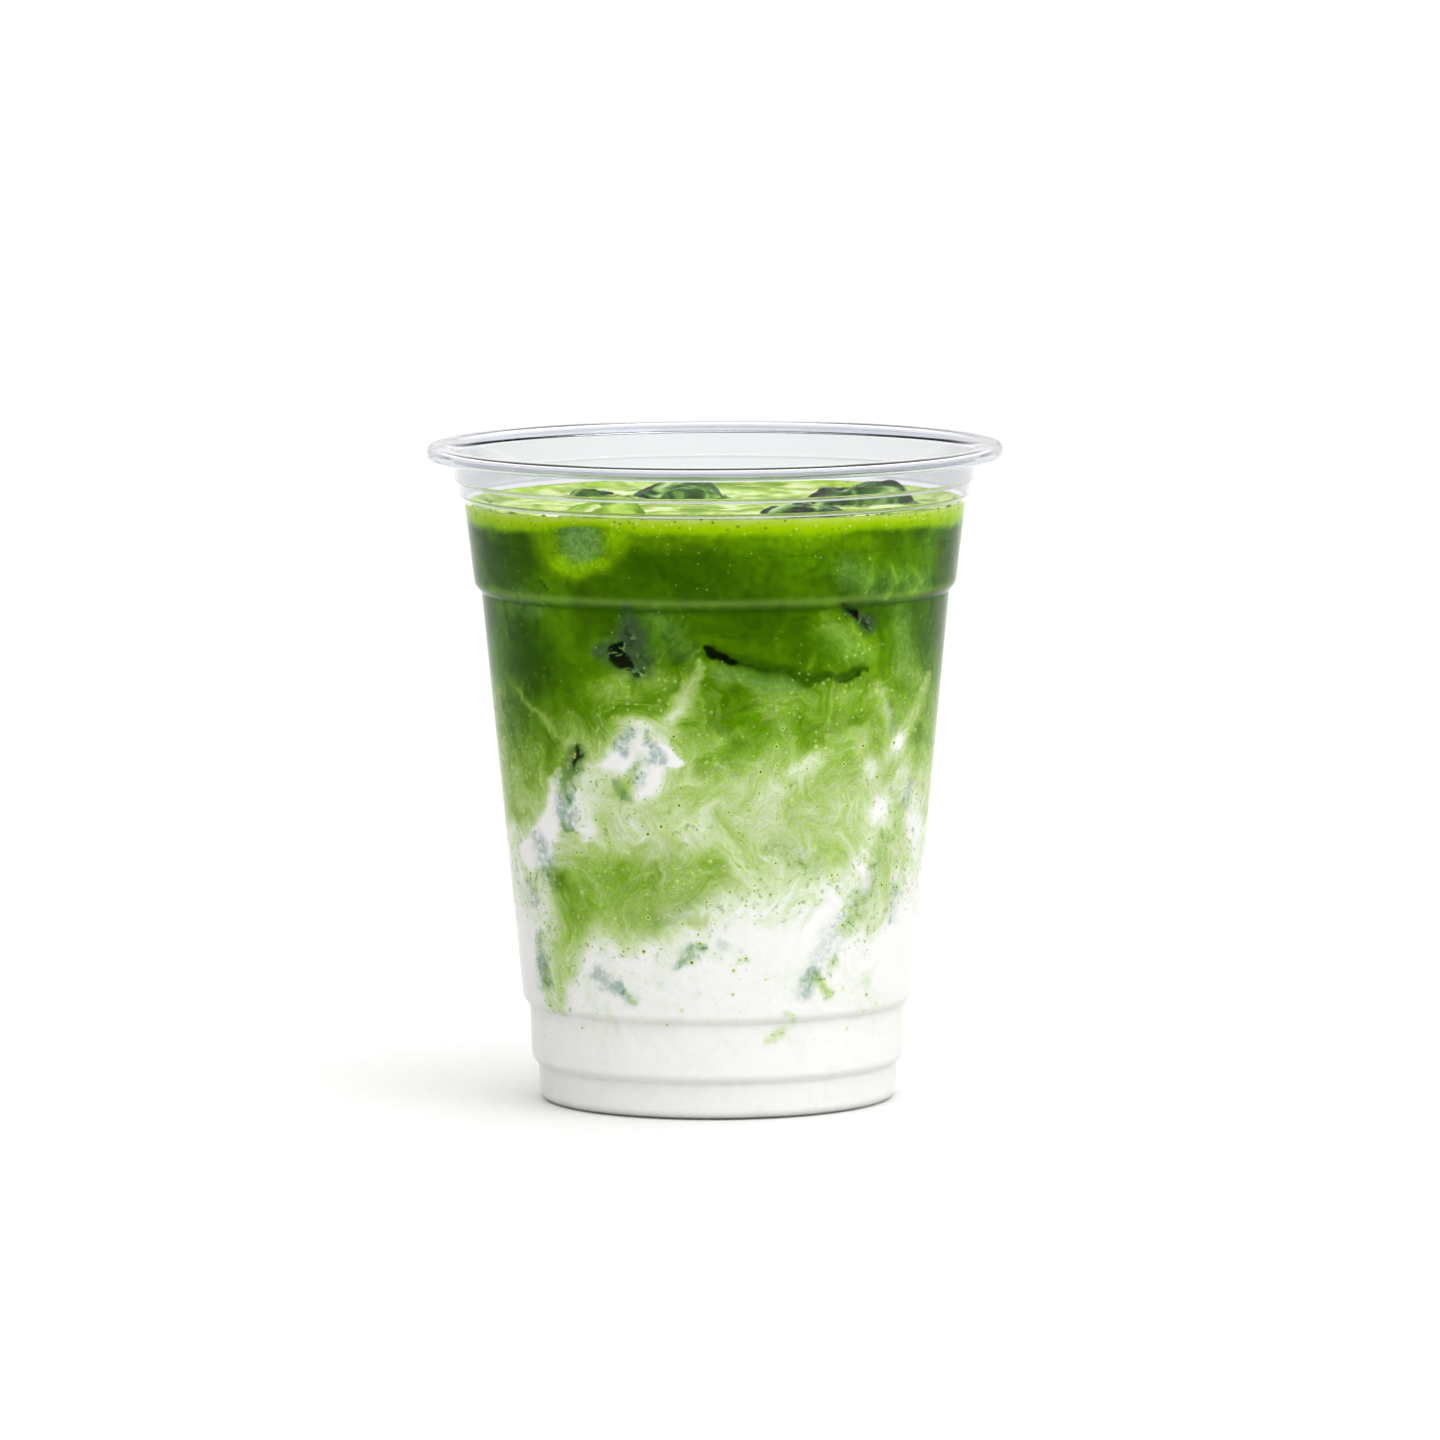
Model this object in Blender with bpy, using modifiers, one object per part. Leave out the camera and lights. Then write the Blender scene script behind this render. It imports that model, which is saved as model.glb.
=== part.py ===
"""An iced matcha latte in a clear cold-drink cup.

The cup is one thin formed sheet with a rolled rim, two stacking ledges, a shoulder and two
steps above its foot. It holds milk, matcha and froth in layers, and five ice cubes that float.
Metres, +Z up. The origin is the centre of the foot on the table, and the front faces -Y.
"""

import math
import random

import bmesh
import bpy
from mathutils import Matrix, Vector

MM = 0.001

# Cup
SHEET = 0.5 * MM  # thickness of the formed sheet
HEIGHT = 111.8 * MM  # table to the top of the rim
RIM_RADIUS = 49.0 * MM  # to the outside of the rolled rim
LIP_DROP = 1.9 * MM  # height of the rim's rolled lip
LIP_HOOK = 0.6 * MM  # how far the lip's end turns back under the flange
NECK_RADIUS = 44.6 * MM  # outside of the wall just under the flange
FOOT_RADIUS = 30.4 * MM
FOOT_WIDTH = 4.0 * MM  # flat ring that stands on the table
FLOOR_RISE = 2.2 * MM  # underside of the raised floor above the table
FLOOR_EDGE = 24.6 * MM  # radius where the raised floor turns down to the foot
FLOOR_FILLET = 1.0 * MM
FOOT_FILLET = 1.6 * MM
NECK_FILLET = 1.7 * MM
LIP_FILLET = 1.0 * MM
TURN_STEPS = 44  # facets round the cup and round what is in it

# Ledges of the wall, from the lowest up: radius and height of the inward corner, how far the
# wall steps out over it, how high that step is, and the radius of its outer corner
LEDGES = (
    (30.55 * MM, 6.00 * MM, 1.15 * MM, 1.15 * MM, 2.0 * MM),
    (32.10 * MM, 16.35 * MM, 1.10 * MM, 1.05 * MM, 2.0 * MM),
    (39.85 * MM, 86.90 * MM, 1.15 * MM, 1.30 * MM, 2.0 * MM),
    (42.75 * MM, 102.90 * MM, 0.60 * MM, 0.40 * MM, 0.4 * MM),
    (43.60 * MM, 105.50 * MM, 0.60 * MM, 0.40 * MM, 0.4 * MM),
)

# Contents
GAP = 0.3 * MM  # kept between touching solids
LEVEL = 101.2 * MM  # surface of the drink away from the wall
MENISCUS_RISE = 0.8 * MM
MENISCUS_WIDTH = 2.2 * MM
MENISCUS_BEND = (0.4, 0.28)  # where its curve bends, as shares of its width and of its rise
MILK_TOP = 44.0 * MM  # mean height of the milk where it meets the matcha
FROTH_DEPTH = 3.4 * MM  # mean depth of the froth
WAVE_CELLS = 16  # cells across the surface that parts two layers
BLOCK_FOOT = -10.0 * MM  # underside of the blocks that part the layers

# Waves round Z of a layer's lower or upper face: height, waves in a turn, and phase
MILK_WAVES = (
    (13.0 * MM, 1, 0.0),
    (-6.0 * MM, 2, math.radians(90)),
    (2.4 * MM, 5, 0.8),
    (1.5 * MM, 9, 2.1),
)
FROTH_WAVES = ((0.7 * MM, 3, 1.2), (0.45 * MM, 7, 0.0), (0.5 * MM, 1, 0.0))
MILK_FULL_WAVES = 36.0 * MM  # the milk's waves grow outwards and have these heights at this radius
MILK_GROWTH = 1.5  # power of the radius that they grow with
MILK_MOST = 1.15  # share of that radius where they stop growing
RIPPLE = 1.6 * MM  # height of the slow ripple across the milk
RIPPLE_TURN = (210.0, 190.0)  # radians of ripple in a metre along X and Y
RIPPLE_PHASE = (0.4, -0.7)

# Rounded corners
ARC_STEP = math.radians(42)  # widest turn between two points of a rounded corner
LEAST_TURN = math.radians(3)  # a corner flatter than this stays one point
CORNER_ROOM = 0.49  # share of a straight run that a corner at its end may use
MERGE = 0.01 * MM  # points on the axis closer than this become one

# Ice cubes: name, centre x and y, top height, sides, and tilts about X, Y and Z in degrees
ICE = (
    ("ice_middle", -6.4, 14.5, 104.6, (19.5, 17.0, 18.0), (7.0, -9.0, 10.0)),
    ("ice_right", 25.0, 3.5, 105.2, (22.0, 18.0, 19.0), (-4.0, -11.0, 16.0)),
    ("ice_front_right", 15.0, -20.5, 103.4, (19.5, 16.0, 17.0), (4.0, 5.0, 12.0)),
    ("ice_front_left", -19.0, -25.2, 104.4, (18.0, 16.5, 18.5), (5.0, -5.0, -36.0)),
    ("ice_small", -21.3, 18.5, 102.8, (11.5, 10.0, 10.5), (-8.0, 9.0, 35.0)),
)
ICE_CHAMFER = 3.6 * MM
ICE_CHAMFER_SHARE = 0.26  # a cube's chamfer is at most this share of its shortest side
ICE_JITTER = 0.8 * MM  # how far a cube's corners stray from a true box


def clear_scene():
    for obj in list(bpy.data.objects):
        bpy.data.objects.remove(obj)


def new_collection(name):
    collection = bpy.data.collections.new(name)
    bpy.context.scene.collection.children.link(collection)
    return collection


def material(name, colour, roughness, alpha=1.0):
    """A plain surface of one colour, given as red, green and blue."""
    made = bpy.data.materials.new(name)
    made.use_nodes = True
    shader = made.node_tree.nodes["Principled BSDF"]
    shader.inputs["Base Color"].default_value = (*colour, 1.0)
    shader.inputs["Roughness"].default_value = roughness
    shader.inputs["Alpha"].default_value = alpha
    shader.inputs["Metallic"].default_value = 0.0
    return made


def cup_corners():
    """The outside of the sheet as (point, corner radius), from the middle of the floor up."""
    flange = HEIGHT - SHEET
    lip = RIM_RADIUS - SHEET
    lip_end = HEIGHT - LIP_DROP
    corners = [
        (Vector((0.0, FLOOR_RISE)), 0.0),
        (Vector((FLOOR_EDGE, FLOOR_RISE)), FLOOR_FILLET),
        (Vector((FOOT_RADIUS - FOOT_WIDTH, 0.0)), 0.0),
        (Vector((FOOT_RADIUS, 0.0)), FOOT_FILLET),
    ]
    for radius, height, out, rise, fillet in LEDGES:
        corners.append((Vector((radius, height)), 0.0))
        corners.append((Vector((radius + out, height + rise)), fillet))
    corners += [
        (Vector((NECK_RADIUS, flange)), NECK_FILLET),
        (Vector((lip, flange)), LIP_FILLET),
        (Vector((lip, lip_end + LIP_HOOK / 2)), 0.0),
        (Vector((lip - LIP_HOOK, lip_end)), 0.0),
    ]
    return corners


def inset(corners, distance):
    """The same outline moved inwards by distance, with each corner's radius to suit."""
    points = [point for point, _ in corners]
    moved = []
    for i, (point, fillet) in enumerate(corners):
        before = (point - points[i - 1]).normalized() if i else None
        after = (points[i + 1] - point).normalized() if i + 1 < len(points) else before
        before = before or after
        # The outline runs up the outside, so its left-hand side is the inside of the cup
        left_before = Vector((-before.y, before.x))
        left_after = Vector((-after.y, after.x))
        middle = (left_before + left_after).normalized()
        shift = middle * (distance / middle.dot(left_after))
        turns_left = before.x * after.y - before.y * after.x > 0
        grown = fillet - distance if turns_left else fillet + distance
        moved.append((point + shift, max(grown, 0.0) if fillet else 0.0))
    return moved


def rounded(corners):
    """The outline's points, with each corner that has a radius drawn as an arc."""
    points = [point for point, _ in corners]
    path = [points[0]]
    for i in range(1, len(points) - 1):
        point, fillet = corners[i]
        before = (point - points[i - 1]).normalized()
        after = (points[i + 1] - point).normalized()
        turn = before.angle(after)
        if fillet <= 0.0 or turn < LEAST_TURN:
            path.append(point)
            continue
        reach = fillet * math.tan(turn / 2)
        room = min((point - points[i - 1]).length, (points[i + 1] - point).length)
        reach = min(reach, CORNER_ROOM * room)
        radius = reach / math.tan(turn / 2)
        side = 1.0 if before.x * after.y - before.y * after.x > 0 else -1.0
        start = point - before * reach
        centre = start + Vector((-before.y, before.x)) * (radius * side)
        steps = max(1, math.ceil(turn / ARC_STEP))
        arm = start - centre
        for k in range(steps + 1):
            path.append(centre + Matrix.Rotation(side * turn * k / steps, 2) @ arm)
    path.append(points[-1])
    return path


def turned(name, outline, collection):
    """Turns an outline of (radius, height) points, top of its outer side first, about Z."""
    mesh = bpy.data.meshes.new(name)
    verts = [(point.x, 0.0, point.y) for point in outline]
    edges = [(i, i + 1) for i in range(len(verts) - 1)]
    mesh.from_pydata(verts, edges, [])
    obj = bpy.data.objects.new(name, mesh)
    collection.objects.link(obj)
    screw = obj.modifiers.new("Turn", "SCREW")
    screw.steps = screw.render_steps = TURN_STEPS
    screw.use_merge_vertices = True
    screw.merge_threshold = MERGE
    return obj


def cup(collection):
    """The formed sheet: its outside face turned about Z, with the wall's thickness inwards."""
    outline = rounded(cup_corners())
    outline.reverse()
    obj = turned("cup", outline, collection)
    wall = obj.modifiers.new("Sheet", "SOLIDIFY")
    wall.thickness = SHEET
    wall.offset = -1.0
    wall.use_even_offset = True
    return obj


def fill_outline():
    """Outline of everything poured in: surface, meniscus, inner wall and raised floor."""
    wall = rounded(inset(cup_corners(), SHEET + GAP))
    wall[0].x = 0.0
    edge = LEVEL + MENISCUS_RISE
    below = [point for point in wall if point.y < edge and point.x < NECK_RADIUS]
    last = below[-1]
    following = wall[len(below)]
    share = (edge - last.y) / (following.y - last.y)
    contact = last.lerp(following, share)
    foot_of_meniscus = Vector((contact.x - MENISCUS_WIDTH, LEVEL))
    inwards, upwards = MENISCUS_BEND
    bend = Vector((contact.x - MENISCUS_WIDTH * inwards, LEVEL + MENISCUS_RISE * upwards))
    outline = [Vector((0.0, LEVEL)), foot_of_meniscus, bend, contact]
    return outline + below[::-1]


def waves_round(x, y, waves):
    """The sum of waves round Z at one place, counted from the front towards the right."""
    angle = math.atan2(x, -y)
    return sum(height * math.sin(count * angle + phase) for height, count, phase in waves)


def milk_height(x, y):
    """Where the milk ends: lowest at the front left, highest at the right, calm in the middle."""
    out = min(math.hypot(x, y) / MILK_FULL_WAVES, MILK_MOST) ** MILK_GROWTH
    ripple = math.sin(x * RIPPLE_TURN[0] + RIPPLE_PHASE[0]) * math.cos(y * RIPPLE_TURN[1] + RIPPLE_PHASE[1])
    return MILK_TOP + waves_round(x, y, MILK_WAVES) * out + RIPPLE * ripple


def froth_foot(x, y):
    """Where the froth ends below: a shallow uneven layer, deepest at the right."""
    return LEVEL - FROTH_DEPTH - waves_round(x, y, FROTH_WAVES)


def block_under(name, height, lift, collection):
    """A cutter that fills all space under the surface height(x, y), raised by lift."""
    mesh = bpy.data.meshes.new(name)
    bm = bmesh.new()
    bmesh.ops.create_grid(bm, x_segments=WAVE_CELLS, y_segments=WAVE_CELLS, size=RIM_RADIUS)
    for vert in bm.verts:
        vert.co.z = height(vert.co.x, vert.co.y) + lift
    made = bmesh.ops.extrude_face_region(bm, geom=list(bm.faces))
    lower = [item for item in made["geom"] if isinstance(item, bmesh.types.BMVert)]
    for vert in lower:
        vert.co.z = BLOCK_FOOT
    # The waves bend each square, so triangles keep both sides of the joint alike
    bmesh.ops.triangulate(bm, faces=list(bm.faces))
    bmesh.ops.recalc_face_normals(bm, faces=list(bm.faces))
    bm.to_mesh(mesh)
    bm.free()
    obj = bpy.data.objects.new(name, mesh)
    collection.objects.link(obj)
    hide_cutter(obj)
    return obj


def hide_cutter(obj):
    obj.hide_render = True
    obj.display_type = "WIRE"


def boolean(obj, operation, cutter):
    """Cuts obj by one cutter, or by every object of a collection."""
    modifier = obj.modifiers.new(operation.title(), "BOOLEAN")
    modifier.operation = operation
    modifier.solver = "EXACT"
    if isinstance(cutter, bpy.types.Collection):
        modifier.operand_type = "COLLECTION"
        modifier.collection = cutter
    else:
        modifier.object = cutter


def ice_mesh(name, sides, seed, grow):
    """A half-melted cube: a box with strayed corners, chamfered and then softened."""
    stray = random.Random(seed)
    mesh = bpy.data.meshes.new(name)
    bm = bmesh.new()
    bmesh.ops.create_cube(bm, size=1.0)
    for vert in bm.verts:
        signs = [math.copysign(1.0, c) for c in vert.co]
        vert.co = Vector(
            sign * (side * MM / 2 - ICE_JITTER * stray.random() + grow)
            for sign, side in zip(signs, sides)
        )
    bmesh.ops.bevel(
        bm,
        geom=list(bm.edges),
        offset=min(ICE_CHAMFER, min(sides) * MM * ICE_CHAMFER_SHARE),
        segments=1,
        profile=0.5,
        affect="EDGES",
    )
    bm.to_mesh(mesh)
    bm.free()
    return mesh


def ice_cube(name, sides, tilts, seed, collection, grow=0.0):
    """One cube, tilted as it floats, with its middle at the origin."""
    obj = bpy.data.objects.new(name, ice_mesh(name, sides, seed, grow))
    collection.objects.link(obj)
    obj.rotation_euler = [math.radians(tilt) for tilt in tilts]
    soft = obj.modifiers.new("Melt", "SUBSURF")
    soft.levels = soft.render_levels = 1
    obj.data.shade_smooth()
    return obj


def highest_point(obj):
    """Height of the finished shape's top above the object's own place."""
    bpy.context.view_layer.update()
    shape = obj.evaluated_get(bpy.context.evaluated_depsgraph_get())
    return max((shape.matrix_world @ vert.co).z for vert in shape.data.vertices)


def give(obj, finish):
    obj.data.materials.append(finish)


def main():
    clear_scene()
    parts = new_collection("iced matcha latte")
    cutters = new_collection("cutters")
    pockets = new_collection("ice pockets")

    cup_plastic = material("clear cup plastic", (0.93, 0.95, 0.95), 0.05, alpha=0.25)
    milk_white = material("whole milk", (0.90, 0.89, 0.85), 0.35)
    matcha_green = material("whisked matcha", (0.10, 0.27, 0.01), 0.35)
    froth_green = material("matcha froth", (0.36, 0.58, 0.06), 0.55)
    wet_ice = material("wet ice", (0.80, 0.90, 0.78), 0.08, alpha=0.6)

    shell = cup(parts)
    shell.data.shade_smooth()
    give(shell, cup_plastic)

    for seed, (name, x, y, top, sides, tilts) in enumerate(ICE):
        cube = ice_cube(name, sides, tilts, seed, parts)
        cube.location = (x * MM, y * MM, top * MM - highest_point(cube))
        give(cube, wet_ice)
        pocket = ice_cube(name + "_pocket", sides, tilts, seed, pockets, GAP)
        pocket.location = cube.location
        hide_cutter(pocket)

    milk_block = block_under("milk_block", milk_height, 0.0, cutters)
    milk_block_raised = block_under("milk_block_raised", milk_height, GAP, cutters)
    froth_block = block_under("froth_block", froth_foot, 0.0, cutters)
    froth_block_raised = block_under("froth_block_raised", froth_foot, GAP, cutters)

    outline = fill_outline()
    layers = (
        ("milk", milk_white, (("INTERSECT", milk_block),)),
        (
            "matcha",
            matcha_green,
            (("DIFFERENCE", milk_block_raised), ("INTERSECT", froth_block), ("DIFFERENCE", pockets)),
        ),
        ("froth", froth_green, (("DIFFERENCE", froth_block_raised), ("DIFFERENCE", pockets))),
    )
    for name, finish, cuts in layers:
        layer = turned(name, outline, parts)
        give(layer, finish)
        for operation, cutter in cuts:
            boolean(layer, operation, cutter)


main()
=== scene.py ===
import math

import bpy
import numpy as np
from mathutils import Matrix, Vector


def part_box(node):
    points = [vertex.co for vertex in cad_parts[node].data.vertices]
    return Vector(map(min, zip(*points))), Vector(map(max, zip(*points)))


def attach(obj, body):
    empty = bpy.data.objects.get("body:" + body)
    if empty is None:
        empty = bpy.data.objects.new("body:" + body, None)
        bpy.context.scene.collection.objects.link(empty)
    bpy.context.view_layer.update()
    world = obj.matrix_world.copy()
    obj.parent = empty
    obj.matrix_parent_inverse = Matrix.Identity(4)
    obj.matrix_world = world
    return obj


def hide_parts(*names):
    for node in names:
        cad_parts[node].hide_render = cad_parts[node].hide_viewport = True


# An iced matcha latte in a clear cold-drink cup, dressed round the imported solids.
# Lengths are in millimetres until a mesh is made. The front of the cup faces -Y.

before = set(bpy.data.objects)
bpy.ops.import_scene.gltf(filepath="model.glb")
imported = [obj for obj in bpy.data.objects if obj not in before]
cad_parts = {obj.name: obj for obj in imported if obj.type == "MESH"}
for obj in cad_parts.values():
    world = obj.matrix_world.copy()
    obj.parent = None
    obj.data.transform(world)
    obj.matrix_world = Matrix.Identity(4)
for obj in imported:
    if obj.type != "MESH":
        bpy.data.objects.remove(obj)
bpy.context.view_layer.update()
mm = 0.001
print("frame loaded:", ", ".join(sorted(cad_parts)))

cupSizes = dict(
    sheet=0.5, height=111.8, rimRadius=49.0, lipDrop=1.9, lipHook=0.6, neckRadius=44.6,
    footRadius=30.4, footWidth=4.0, floorRise=2.2, floorEdge=24.6,
    floorFillet=1.0, footFillet=1.6, neckFillet=1.7, lipFillet=1.0,
    # ledges from the lowest up: radius and height of the inner corner, step out, step up, fillet
    ledges=(
        (30.55, 6.00, 1.15, 1.15, 2.0), (32.10, 16.35, 1.10, 1.05, 2.0), (39.85, 86.90, 1.15, 1.30, 2.0),
        (42.75, 102.90, 0.60, 0.40, 0.4), (43.60, 105.50, 0.60, 0.40, 0.4),
    ),
    leastFillet=0.3,  # formed plastic has no corner sharper than this
    leastArc=0.12,  # and no corner moved through the sheet gets sharper than this
    cornerRoom=0.47,  # share of a straight run that the corner at its end may use
    leastReach=0.01,  # a corner that would use less than this stays one point
    arcStep=14.0,  # degrees between two points of a rounded corner
    tipOut=0.18,  # how far the cut end of the lip is rounded out
    columns=224,
    # how far up the drink wets the sheet, where the rim begins, and how wide and how far down its lip is
    wetUpTo=102.6, rimFrom=109.4, lipWidth=0.9, lipBelow=1.0,
)

drinkSizes = dict(
    inWall=0.27,  # how far inside the cup's outer face the drink's own surface lies
    frothInWall=0.24,
    wallMargin=3.0,  # the wall's line is read from this far inside the foot's edge
    level=101.2,  # surface away from the wall
    bodyTop=98.6, bodyCentreTop=96.9, bodyTopRows=8,
    bodyTopFlat=6,  # the higher, the flatter the body's top is near the middle
    frothBottom=96.2, frothCentreBottom=97.6,
    climb=0.9, frontClimb=0.75, frontWidth=0.75,  # how high the froth climbs the wall, and more at the front
    meniscusWidth=1.5, meniscusBend=1.3,
    rowStep=0.38, columns=310,
    floorRows=8, floorMargin=2.0,  # one row in so many is enough on the floor, up to this far from its edge
    frontCrowding=0.5,  # columns stand closer at the front by this share
)


# Numbers

def smooth(low, high, value):
    # a soft step: 0 below low, 1 above high, 3t^2 - 2t^3 between
    t = np.clip((value - low) / (high - low), 0, 1)
    return t * t * (3 - 2 * t)


def hashUnit(cells, seed):
    # mixes three whole numbers and a seed into one value from 0 to 1
    n = (cells[..., 0] * 73856093) ^ (cells[..., 1] * 19349663)
    n = (n ^ (cells[..., 2] * 83492791) ^ (seed * 2654435)).astype(np.uint32)
    n ^= n >> np.uint32(13)
    n *= np.uint32(1540483477)
    n ^= n >> np.uint32(15)
    n *= np.uint32(2246822519)
    n ^= n >> np.uint32(13)
    return n.astype(np.float64) / 4294967295.0


def latticeNoise(points, seed):
    # gradient noise: each lattice corner pulls along its own random slope, blended by a smooth weight
    cell = np.floor(points).astype(np.int64)
    inside = points - cell
    blend = inside ** 3 * (inside * (inside * 6 - 15) + 10)
    total = np.zeros(points.shape[:-1])
    for corner in range(8):
        step = np.array([corner & 1, corner >> 1 & 1, corner >> 2 & 1])
        weight = np.prod(np.where(step, blend, 1 - blend), axis=-1)
        there = cell + step
        slope = np.stack([hashUnit(there, seed * 3 + k) * 2 - 1 for k in range(3)], axis=-1)
        total += weight * ((inside - step) * slope).sum(axis=-1)
    return total * 1.5  # about -1 to 1


def fractalNoise(points, size, octaves, seed):
    # octaves of lattice noise, each half the size and half the height of the one before
    return sum(latticeNoise(points / size * 2 ** k, seed + k) / 2 ** k for k in range(octaves))


# Meshes

def flatten(field):
    # a grid whose first and last rows have each closed to one point, as one list in the mesh's order
    return np.concatenate([field[:1, 0], field[1:-1].reshape(-1, *field.shape[2:]), field[-1:, 0]])


def closedMesh(name, points, fields=None):
    # a grid of rings, points[row, column] in millimetres, whose first and last rows are poles; it closes
    # each ring on itself and each end on its pole, and fields are numbers or vectors stored at its points
    rows, columns = points.shape[0] - 2, points.shape[1]
    places = flatten(points) * mm
    here = np.arange(columns)
    beside = (here + 1) % columns
    ring = 1 + columns * np.arange(rows - 1)[:, None]
    quads = [ring + here, ring + beside, ring + columns + beside, ring + columns + here]
    quads = np.stack(quads, axis=-1).reshape(-1, 4)
    last = 1 + columns * (rows - 1)
    firstFan = np.stack([np.zeros_like(here), 1 + beside, 1 + here], axis=-1)
    lastFan = np.stack([np.full_like(here, last + columns), last + here, last + beside], axis=-1)
    corner = places[quads]
    volume = np.einsum("ij,ij->i", corner[:, 0], np.cross(corner[:, 1], corner[:, 2])).sum()
    volume += np.einsum("ij,ij->i", corner[:, 0], np.cross(corner[:, 2], corner[:, 3])).sum()
    step = 1 if volume > 0 else -1
    faces = [face[::step] for part in (quads, firstFan, lastFan) for face in part.tolist()]
    mesh = bpy.data.meshes.new(name)
    mesh.from_pydata(places.tolist(), [], faces)
    for title, field in (fields or {}).items():
        flat = flatten(field)
        kind, key = ("FLOAT_VECTOR", "vector") if flat.ndim == 2 else ("FLOAT", "value")
        mesh.attributes.new(title, kind, "POINT").data.foreach_set(key, flat.astype(np.float32).ravel())
    mesh.shade_smooth()
    piece = bpy.data.objects.new(name, mesh)
    bpy.context.scene.collection.objects.link(piece)
    print(f"made {name}: {len(faces)} faces")
    return piece


def turnedGrid(line, turns):
    # carries an outline of (radius, height) round Z: x = r sin t, y = -r cos t, z = h
    radius, height = line[:, :1], line[:, 1:2]
    return np.stack([radius * np.sin(turns), -radius * np.cos(turns), height + 0 * turns], axis=-1)


def dress(piece, material, slot, *nodes):
    # gives a piece its material and its body, and hides the nodes that it stands for; its slot is not used
    piece.data.materials.append(material)
    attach(piece, "root")
    if nodes:
        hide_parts(*nodes)


# Cup outline

def cupCorners():
    # the outside of the sheet from the middle of the raised floor up: radius, height, fillet
    c = cupSizes
    flange, lip, lipEnd = c["height"] - c["sheet"], c["rimRadius"] - c["sheet"], c["height"] - c["lipDrop"]
    corners = [
        (0.0, c["floorRise"], 0.0), (c["floorEdge"], c["floorRise"], c["floorFillet"]),
        (c["footRadius"] - c["footWidth"], 0.0, 0.0), (c["footRadius"], 0.0, c["footFillet"]),
    ]
    for radius, height, out, rise, fillet in c["ledges"]:
        corners += [(radius, height, 0.0), (radius + out, height + rise, fillet)]
    corners += [
        (c["neckRadius"], flange, c["neckFillet"]), (lip, flange, c["lipFillet"]),
        (lip, lipEnd + c["lipHook"] / 2, 0.0), (lip - c["lipHook"], lipEnd, 0.0),
    ]
    corners = np.array(corners)
    corners[1:-1, 2] = np.maximum(corners[1:-1, 2], c["leastFillet"])
    return corners


def unit(vector):
    # the same direction, of length 1
    return vector / np.hypot(*vector)


def cupOutline(inset):
    # the cup's outside line moved inwards: each corner slides along its bisector, then turns by an arc
    corners = cupCorners()
    points = corners[:, :2]
    ways = [unit(b - a) for a, b in zip(points[:-1], points[1:])]
    moved = []
    for i, (point, fillet) in enumerate(zip(points, corners[:, 2])):
        before, after = ways[max(i - 1, 0)], ways[min(i, len(ways) - 1)]
        left = np.array([-after[1], after[0]])
        middle = unit(left + np.array([-before[1], before[0]]))
        bend = before[0] * after[1] - before[1] * after[0]
        grown = max(fillet - np.sign(bend) * inset, cupSizes["leastArc"]) if fillet else 0.0
        moved.append((point + middle * inset / middle.dot(left), grown))
    path = [moved[0][0]]
    for i in range(1, len(moved) - 1):
        point, fillet = moved[i]
        toLast, toNext = moved[i - 1][0] - point, moved[i + 1][0] - point
        before, after = -unit(toLast), unit(toNext)
        bend = math.atan2(before[0] * after[1] - before[1] * after[0], before.dot(after))
        room = cupSizes["cornerRoom"] * min(np.hypot(*toLast), np.hypot(*toNext))
        reach = min(fillet * math.tan(abs(bend) / 2), room)
        if reach < cupSizes["leastReach"]:
            path.append(point)
            continue
        radius = reach / math.tan(abs(bend) / 2)
        start = point - before * reach
        side = math.copysign(1.0, bend)
        centre = start + np.array([-before[1], before[0]]) * radius * side
        steps = max(2, math.ceil(abs(math.degrees(bend)) / cupSizes["arcStep"]))
        arm = start - centre
        for angle in np.linspace(0, bend, steps + 1):
            c, s = math.cos(angle), math.sin(angle)
            path.append(centre + np.array([arm[0] * c - arm[1] * s, arm[0] * s + arm[1] * c]))
    path.append(moved[-1][0])
    path = np.array(path)
    path[0, 0] = 0.0
    return path


def resampled(path, step):
    # the same line with points put in so that no run is longer than step
    runs = []
    for a, b in zip(path[:-1], path[1:]):
        count = max(1, math.ceil(np.hypot(*(b - a)) / step))
        runs.append(np.linspace(a, b, count + 1)[:-1])
    return np.vstack([*runs, path[-1:]])


# Marbling

marbling = dict(
    meanRadius=36.0,
    # height as seen from the front, and the mean share of matcha there
    mixByHeight=(
        (0, 0), (11, 0), (16, 0.02), (27, 0.04), (31, 0.10), (35, 0.22), (40, 0.31), (47, 0.32), (54, 0.36),
        (60, 0.45), (66, 0.57), (71, 0.65), (76, 0.76), (80, 0.87), (84, 0.93), (100, 0.96),
    ),
    # swirls of the stirred drink: their size, how far they carry, and in how many steps
    gentle=((14.0, 0.4, 2), (5.0, 0.25, 2), (1.8, 0.14, 2)),
    strong=((13.0, 2.0, 5), (6.0, 1.3, 5)),
    flowSeed=5, nextSeed=7,
    footInset=1.0,  # places further in under the foot are read as if this far inside its edge
    nudge=0.05,  # the slope of a swirl is taken over this share of its size
    spread=dict(cool=1.9, haze=1.2),  # strokes drawn wider than listed
    frontEdge=0.2,  # front and back strokes blend where the turn's cosine is nearer 0 than this
    seenHigher=0.12,  # a place at the side is seen higher than in front, by this share of the radius
    backAcross=3.0, backUp=1.5,  # the back has the same strokes mirrored, and moved by this
    # painted light along the ledges over their tops, and a painted line of shade over their feet: where, and
    # how wide
    ledgeOver=0.2, ledgeWide=0.6, creaseOver=0.1, creaseWide=0.4,
)

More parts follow.
